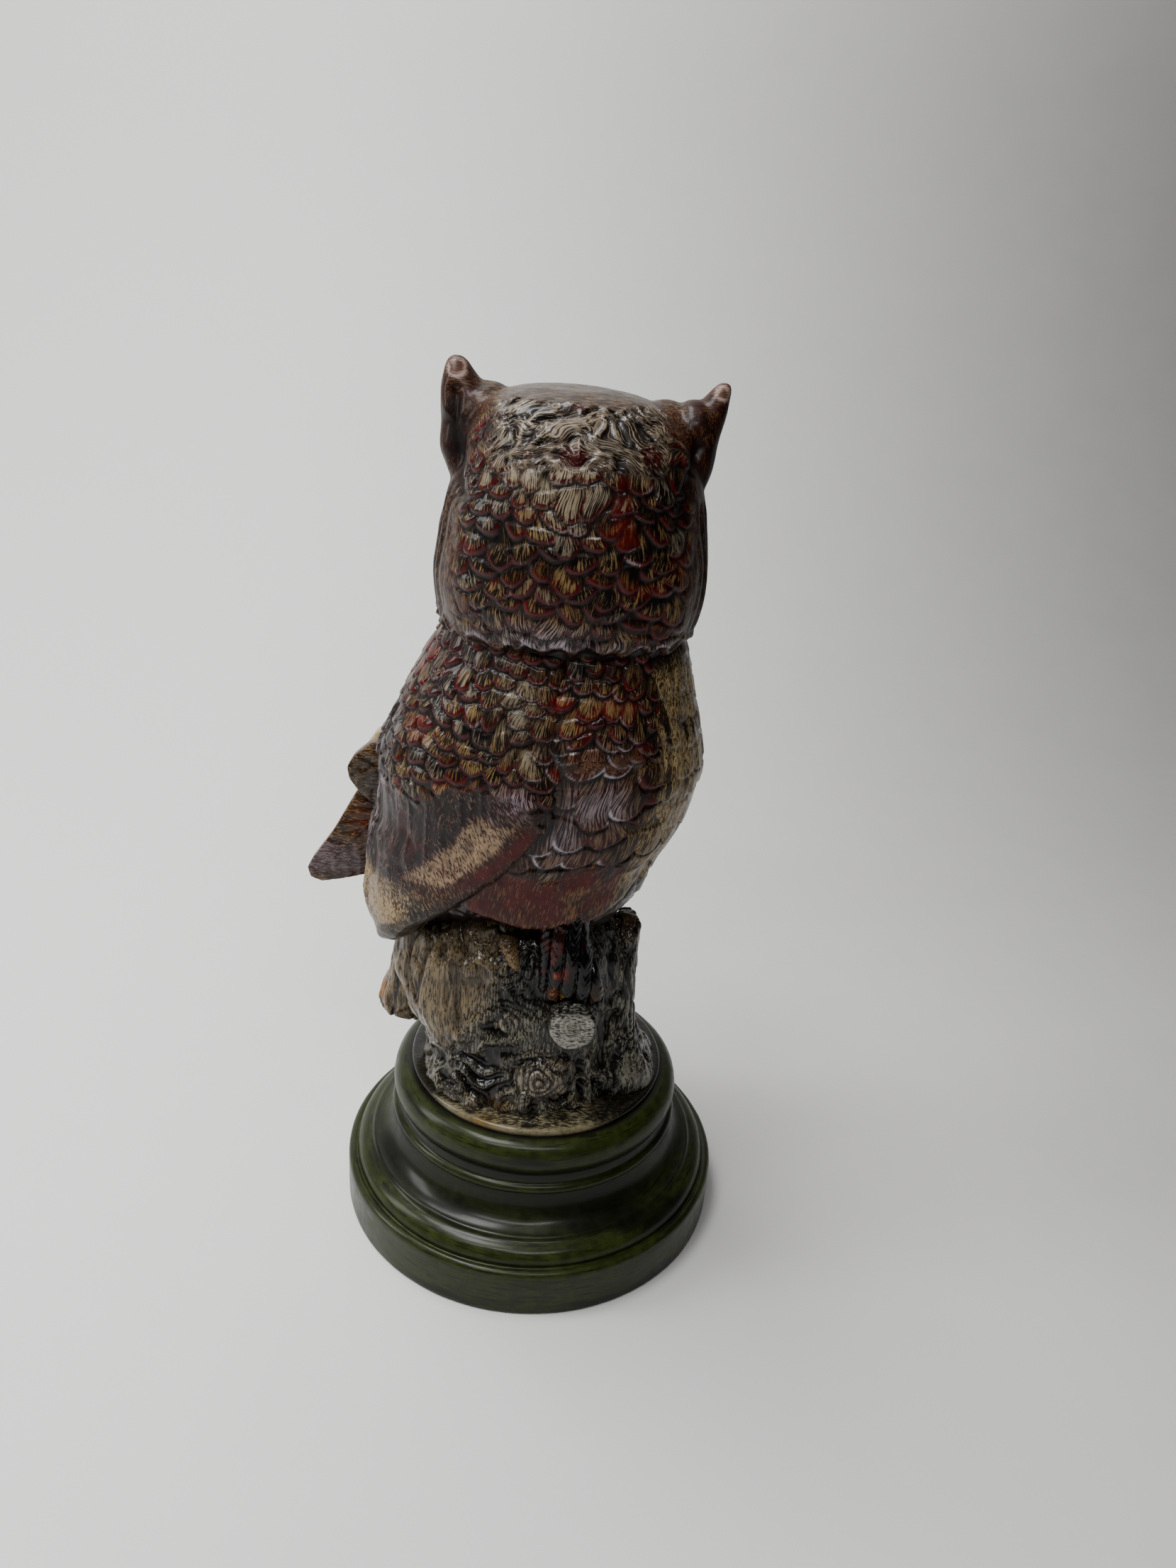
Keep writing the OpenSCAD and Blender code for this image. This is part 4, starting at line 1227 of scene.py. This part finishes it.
behind = ease(normals[:, 1] * 2 + 0.3)
cup_left = near_line(points, [(36.4, 236), (37.0, 227), (35.2, 219), (33.0, 210)], (2.2, 3.6, 2.4)) * behind
cup_right = near_line(points, [(-36, 226), (-31.5, 216), (-30, 207)], (1.6, 2.2)) * behind
front = ease((-y - 14) / 10)
plain = (1 - scaled) * (1 - tuft) * (1 - side)
ribbon = hem_edge * ease(y / 8)
feathered = 1.05 * scale["height"] + 0.08 * scale["streak"]
hair = 0.55 * locks + 0.4 * wisps + 0.3
height = (scaled * feathered + tuft * hair + 0.55 * side * ribs + 0.7 * hem_edge + 0.1 * ribbon
          - 0.5 * under_hem - 2.7 * cup_left - 1.2 * cup_right + 0.35 * lumpy(points, 11, 52, 2)
          + 0.10 * plain * lumpy(points, (2.4, 2.4, 5), 54, 2))
carve(head, height)

# %% [markdown]
# The head's paint follows the same zones: feathers at the back, pale locks above them, brown at the brow and
# on the ears, and cream round the face.

# %% Head paint
EAR_BROWN = (54, 27, 14)
paint = feather_paint(points, scale, scaled)
pale = bell(points, (8, 30, 219), (20, 14, 9)) + 0.6 * bell(points, (2, 34, 209), (13, 12, 8))
paint.wash(pale * (0.3 + scale["mid"]), brush=(196, 184, 162), tint=(70, 54, 46), amount=0.66)
# whiter along the feather ends in the pale patch: partly dry-brush, partly painted highlight
paint.wash(pale * scale["edge"], brush=(206, 196, 186), amount=0.8)
# lilac-grey dry-brush low on the back of the head and pale lilac-white along the hem ridge: partly dry-brush,
# partly painted highlight on the raised hem
frost_and_highlight = bell(points, (6, 36, 174), (24, 12, 6.5)) + 0.7 * hem_edge
paint.wash(frost_and_highlight * 0.8, tint=(70, 56, 58), brush=(190, 180, 182), amount=0.5)
paint.wash(hem_edge * ease(0.5 + 1.4 * noise(points, 6, 56)), tint=(96, 84, 90), brush=(200, 190, 196),
           amount=0.6, dark=0.0)
paint.wash(plain * (1 - front), tint=(70, 34, 24), brush=(138, 108, 80), amount=0.42)
cheek = side * (1 - front)
paint.wash(cheek, tint=(60, 34, 28), brush=(130, 106, 88), amount=0.4)
paint.wash(cheek * ease(-ribs * 1.4), dark=0.7)
lit = ease((x + 16) / 20)
paint.wash(tuft, tint=(50, 36, 29), brush=(174, 160, 140), amount=0.4, dark=0.0)
paint.wash(tuft * ease(locks * 1.6 - 0.2) * (0.45 + 0.55 * lit), amount=0.58, tint=(78, 62, 52))
paint.wash(tuft * ease(-0.1 - locks), dark=0.75, amount=0.25)
paint.wash(tuft * ease(-0.5 - 2 * wisps), dark=0.45)
paint.wash(tuft * ease(noise(points, 7, 59) * 3 - 0.9), tint=(84, 26, 22), amount=0.3)
eye_mark = np.hypot((x - 1) / 5.5, (z - 224) / 2.6)
paint.wash(ease((1 - eye_mark) * 2) * ease(y - 20), tint=(84, 20, 20), amount=0.3, dark=0.0)
paint.wash(line_at(eye_mark, 1.25, 0.22) * ease(y - 20) * 0.7, tint=(116, 92, 84), amount=0.6, dark=0.0)
brow = np.maximum(ease((z - 214) / 8) * ease((4 - y) / 5), strip * ease((y + 12) / 6))
paint.wash(brow, tint=(66, 46, 34), brush=(142, 118, 92), amount=0.42, dark=0.0)
ear_zone = np.maximum(ease((x - 27) / 4) * ease((z - 211) / 8), ease((-x - 29) / 4) * ease((z - 209) / 8))
paint.wash(ear_zone, tint=EAR_BROWN, brush=(116, 82, 54), amount=0.4, dark=0.0)
paint.wash(ear_zone * ease(lumpy(points, 6, 55) * 2), tint=(36, 20, 16), amount=0.3)
streaks = ease(0.5 + 1.5 * noise(points, (1.6, 1.6, 9), 53))
paint.wash(ear_zone * streaks * 0.5, tint=(80, 32, 18))
paint.wash(cup_left * ease((238 - z) / 6) * (0.8 + 0.3 * streaks), tint=(60, 22, 16), dark=0.85, amount=0.2)
paint.wash(cup_right * 0.9, dark=0.8, amount=0.15)
# a pale ring round each ear tip, lighter inside it: painted highlight on the rounded tip
for tip, highlight_ring in (((36.4, 0.2, 242.6), 2.6), ((-42.0, -1.0, 240.6), 1.8)):
    away = np.linalg.norm((points - tip) * (1, 0.6, 1), axis=1)
    paint.wash(line_at(away, highlight_ring, 0.9) * 0.7, brush=(206, 186, 176), tint=(150, 120, 106), amount=0.85)
    paint.wash(ease((highlight_ring - away) / 1.4) * 0.6, tint=(120, 86, 66), amount=0.3)
paint.wash(front * ease((212 - z) / 8), tint=(92, 66, 46), brush=CREAM, amount=0.6)
# dark under the hem: painted shade below the overhang
paint.wash(under_hem, dark=0.95, amount=0.05)
paint.put_on(head)
plain_flow = np.column_stack([x, y, z]) / (0.4, 0.4, 2.6)
locks_flow = combed[:, [1, 2, 0]] / (0.30, 1, 2.2)
strip_flow = np.column_stack([x / 4.0, y / 0.6, z / 0.4])
head_flow = np.where((brow > 0.4)[:, None], strip_flow, plain_flow)
head_flow = np.where((tuft > 0.4)[:, None], locks_flow, head_flow)
comb(head, head_flow, scale, scaled)
HEAD_PAINT = antique("head_paint", gloss=0.4, coat=0.24, coat_rough=0.12, flow=True)
print("share of the head that is feathered", round(float(scaled.mean()), 2))

# %% [markdown]
# Each ear is parted from the head by a plane through its root. Both cut faces are filled, and their rims
# stay sharp, so the seam doesn't show as a shaded band.

# %% Ears
def cut_off(obj, name, place, outward):
    """Cuts the part beyond a plane off the object and gives it back as a closed piece of its own."""
    spot = Vector(place) * MM * GROW + Vector((0, 0, SEAT))
    pieces = []
    for keep_beyond in (False, True):
        bm = bmesh.new()
        bm.from_mesh(obj.data)
        whole = bm.verts[:] + bm.edges[:] + bm.faces[:]
        bmesh.ops.bisect_plane(bm, geom=whole, plane_co=spot, plane_no=Vector(outward),
                               clear_outer=not keep_beyond, clear_inner=keep_beyond)
        rim = [e for e in bm.edges if e.is_boundary]
        bmesh.ops.holes_fill(bm, edges=rim, sides=0)
        for edge in rim:
            edge.smooth = False
        mesh = bpy.data.meshes.new(name if keep_beyond else obj.name)
        bm.to_mesh(mesh)
        bm.free()
        pieces.append(mesh)
    old = obj.data
    obj.data = pieces[0]
    bpy.data.meshes.remove(old)
    part = bpy.data.objects.new(name, pieces[1])
    bpy.context.scene.collection.objects.link(part)
    return part


ear_left = cut_off(head, "ear_left_tuft", (27.5, 0, 226), (0.93, 0, 0.37))
ear_right = cut_off(head, "ear_right_tuft", (-30, 0, 222), (-0.93, 0, 0.37))
EAR_PAINT = antique("ear_paint", gloss=0.5, coat=0.12, coat_rough=0.2, flow=True)
finish_piece(head, "head", HEAD_PAINT)
finish_piece(ear_left, "ear_left", EAR_PAINT)
finish_piece(ear_right, "ear_right", EAR_PAINT)

# %% [markdown]
# The face looks forward, over the breast. Each eye sits in a dished disc of fine feathers that radiate from
# it, inside a raised rim.

# %% Face
EYES = ((-15, -35, 195), (14, -35, 195))
discs = fused("face_discs", [ball((ex * 1.03, -27, 192), (18, 14, 23)) for ex, _, _ in EYES], 0.5, 5)
points, normals = figure_points(discs)
x, _, z = points.T
eye_x = np.where(x < -0.5, EYES[0][0], EYES[1][0])
from_eye = np.hypot(x - eye_x, (z - 195) * np.where(z > 195, 1.0, 0.78))
spoke = np.arctan2(z - 195, x - eye_x)
facing = ease(-normals[:, 1] * 2.2)
rays = np.sin(spoke * 30 + 2.2 * noise(points, 5, 61) + 0.12 * from_eye)
lid = line_at(from_eye, 9.6, 1.3)
rim = line_at(from_eye, 17.2, 1.5)
outer = ease((from_eye - 10.5) / 2) * ease((17 - from_eye) / 2)
carve(discs, facing * (-1.9 * line_at(from_eye, 12.5, 4.2) + 1.4 * lid + 0.8 * rim + 0.38 * outer * rays
                       + 0.22 * rim * np.sin(spoke * 22)))
paint = Paint(len(points), (150, 116, 78), CREAM, 0.6)
paint.wash(outer * ease(-rays), tint=(104, 70, 42), amount=0.4, dark=0.25)
paint.wash(ease((from_eye - 15.6) / 1.4), tint=(78, 34, 24), brush=(150, 116, 82), amount=0.35)
paint.wash(lid * 0.8 + ease((9 - from_eye) / 1), tint=(52, 34, 26), brush=(150, 120, 86), amount=0.25)
middle_line = line_at(x, -0.5, 2.6)
paint.wash(middle_line, tint=(178, 156, 122), brush=CREAM, amount=0.8)
FACE = antique("face_paint", stroke=(0.5, 0.5, 0.9), gloss=0.36)
finish_piece(discs, "facial_disc", FACE, paint)

EYE_GLAZE = antique("eye_glaze", stroke=(0.3, 0.3, 0.3), gloss=0.16, coat=1.0, coat_rough=0.03, bump=0.0)
for name, place in zip(("eye_right", "eye_left"), EYES):
    eye = fused(name + "_ball", [ball(place, (8.5, 8.5, 8.5))], 0.28, 3)
    points, _ = figure_points(eye)
    look = Vector((0.10 * (1 if place[0] > 0 else -1), -1, 0.02)).normalized()
    out = (points - place) / np.linalg.norm(points - place, axis=1)[:, None]
    off_axis = np.degrees(np.arccos(np.clip(out @ np.array(look), -1, 1)))
    spoke = np.arctan2(out[:, 2], out[:, 0])
    paint = Paint(len(points), (196, 118, 22), (236, 176, 52), 0.5)
    paint.wash(ease(0.5 + 0.9 * np.sin(spoke * 34 + off_axis * 0.2)), amount=0.2, tint=(160, 84, 16))
    paint.wash(ease((off_axis - 44) / 5), tint=(44, 24, 14), amount=0.0)
    paint.wash(ease((off_axis - 54) / 3), tint=(16, 12, 10), dark=0.6)
    paint.wash(ease((25 - off_axis) / 2.5), tint=(6, 5, 5), dark=1.0, amount=0.0)
    finish_piece(eye, name, EYE_GLAZE, paint)

BEAK = [
    [174.6, 0, -42.6, 0.8, 0.8], [177, 0, -43.2, 1.8, 2.0], [181, 0, -42.6, 3.1, 3.6],
    [186, 0, -40.8, 4.1, 4.6], [191, 0, -39, 4.6, 4.6], [197, 0, -36.4, 3.2, 3.2]]
beak = fused("beak_horn", [loft(BEAK, 48)], 0.3, 3)
points, x, y, z = places(beak)
ridge = line_at(x, 0, 0.9) * ease((-y - 40) / 2)
nostril = bell(np.abs(points), (2.6, 43, 190), (1.0, 3, 1.1))
carve(beak, 0.45 * ridge - 0.8 * nostril)
paint = Paint(len(points), (60, 48, 38), (150, 130, 96), 0.4)
paint.wash(ease((185 - z) / 8), tint=(34, 28, 24), amount=0.25)
paint.wash(nostril, dark=0.9)
finish_piece(beak, "beak", HORN, paint)

# %% [markdown]
# Three leaves grow from behind the left wing. Each is an outline extruded to its thickness, softened, and
# then given a midrib, side veins and a slight curl.

# %% Leaves
LEAVES = {
    "leaf_upper": ([(47, 127.4), (54.7, 125), (63, 121.8), (67.6, 117.6), (70, 113.2), (69.4, 109.2),
                    (66, 103.8), (60, 96), (47, 90)], -1.5, (44, 122), (70, 109)),
    "leaf_lower": ([(47, 108), (58, 110), (65, 106.8), (68.6, 100.6), (75.6, 87.5), (82.8, 76.6), (85, 72.2),
                    (84, 68.4), (80, 66.8), (72, 68.2), (62.4, 70), (55, 69.4), (47, 76)],
                   -4.5, (52, 104), (84, 69)),
    "leaf_back": ([(46, 129.4), (55, 127.4), (61.4, 123.4), (65.8, 116.6), (60, 104), (46, 98)],
                  -10, (44, 122), (64, 112))}


def leaf_slab(outline, depth, thick=4.6):
    """The leaf's outline, given its thickness by extruding it."""
    bm = bmesh.new()
    face = bm.faces.new([bm.verts.new((x, depth + thick / 2, z)) for x, z in outline])
    grown = bmesh.ops.extrude_face_region(bm, geom=[face], use_keep_orig=True)["geom"]
    moved = [g for g in grown if isinstance(g, bmesh.types.BMVert)]
    bmesh.ops.translate(bm, vec=(0, -thick, 0), verts=moved)
    bmesh.ops.recalc_face_normals(bm, faces=bm.faces[:])
    return bm


LEAF = antique("leaf_paint", stroke=(3.0, 0.45, 0.45), gloss=0.36)
for name, (outline, depth, root, tip) in LEAVES.items():
    leaf = fused(name + "_modelled", [leaf_slab(outline, depth)], 0.42, 14)
    points, normals = figure_points(leaf)
    x, _, z = points.T
    run = np.array([tip[0] - root[0], tip[1] - root[1]], float)
    length = np.linalg.norm(run)
    off = points[:, [0, 2]] - root
    along = off @ run / length
    aside = off @ np.array([-run[1], run[0]]) / length
    flat = ease((np.abs(normals[:, 1]) - 0.5) / 0.4)
    rib = line_at(aside, 0, 1.0)
    veins = np.sin((along - 0.9 * np.abs(aside) + 1.2 * noise(points, 8, 71)) * math.tau / 5.5)
    dished = 0.5 * bell(aside[:, None], [0], [7])
    carve(leaf, flat * (0.5 * rib + 0.12 * veins - dished + 0.25 * lumpy(points, 8, 72, 2)))
    curl = np.sin(along / length * 3.0) * 1.2 - (aside / 9) ** 2
    shift(leaf, (0, 1.6, 0) * curl[:, None])
    paint = Paint(len(points), (84, 62, 42), (150, 126, 96), 0.42)
    patch = 0.5 + 0.5 * lumpy(points, (7, 7, 7), 73)
    paint.wash(ease((patch - 0.55) * 3), tint=(54, 36, 26))
    paint.wash(flat * ease(-veins) * 0.35, dark=0.35)
    if name == "leaf_lower":
        paint.wash(bell(points, (64, -4, 92), (9, 9, 9)), tint=(104, 48, 20), brush=(150, 100, 44),
                   amount=0.4)
        sheen = ease((84 - z + 0.25 * (x - 60)) / 8) * ease((z - 69) / 4)
        paint.wash(sheen, tint=(94, 72, 72), brush=(150, 134, 136), amount=0.5)
    if name == "leaf_back":
        paint.wash(np.ones(len(points)), tint=(176, 152, 116), brush=(214, 196, 160), amount=0.7, dark=0.0)
    paint.wash(bell(points, (63.1, 1, 105.2), (1.4, 4, 1.2)), dark=1.0, amount=0.0)
    paint.wash(ease((54 - x) / 4), dark=0.75)
    finish_piece(leaf, name, LEAF, paint)
print("head, face and leaves done")
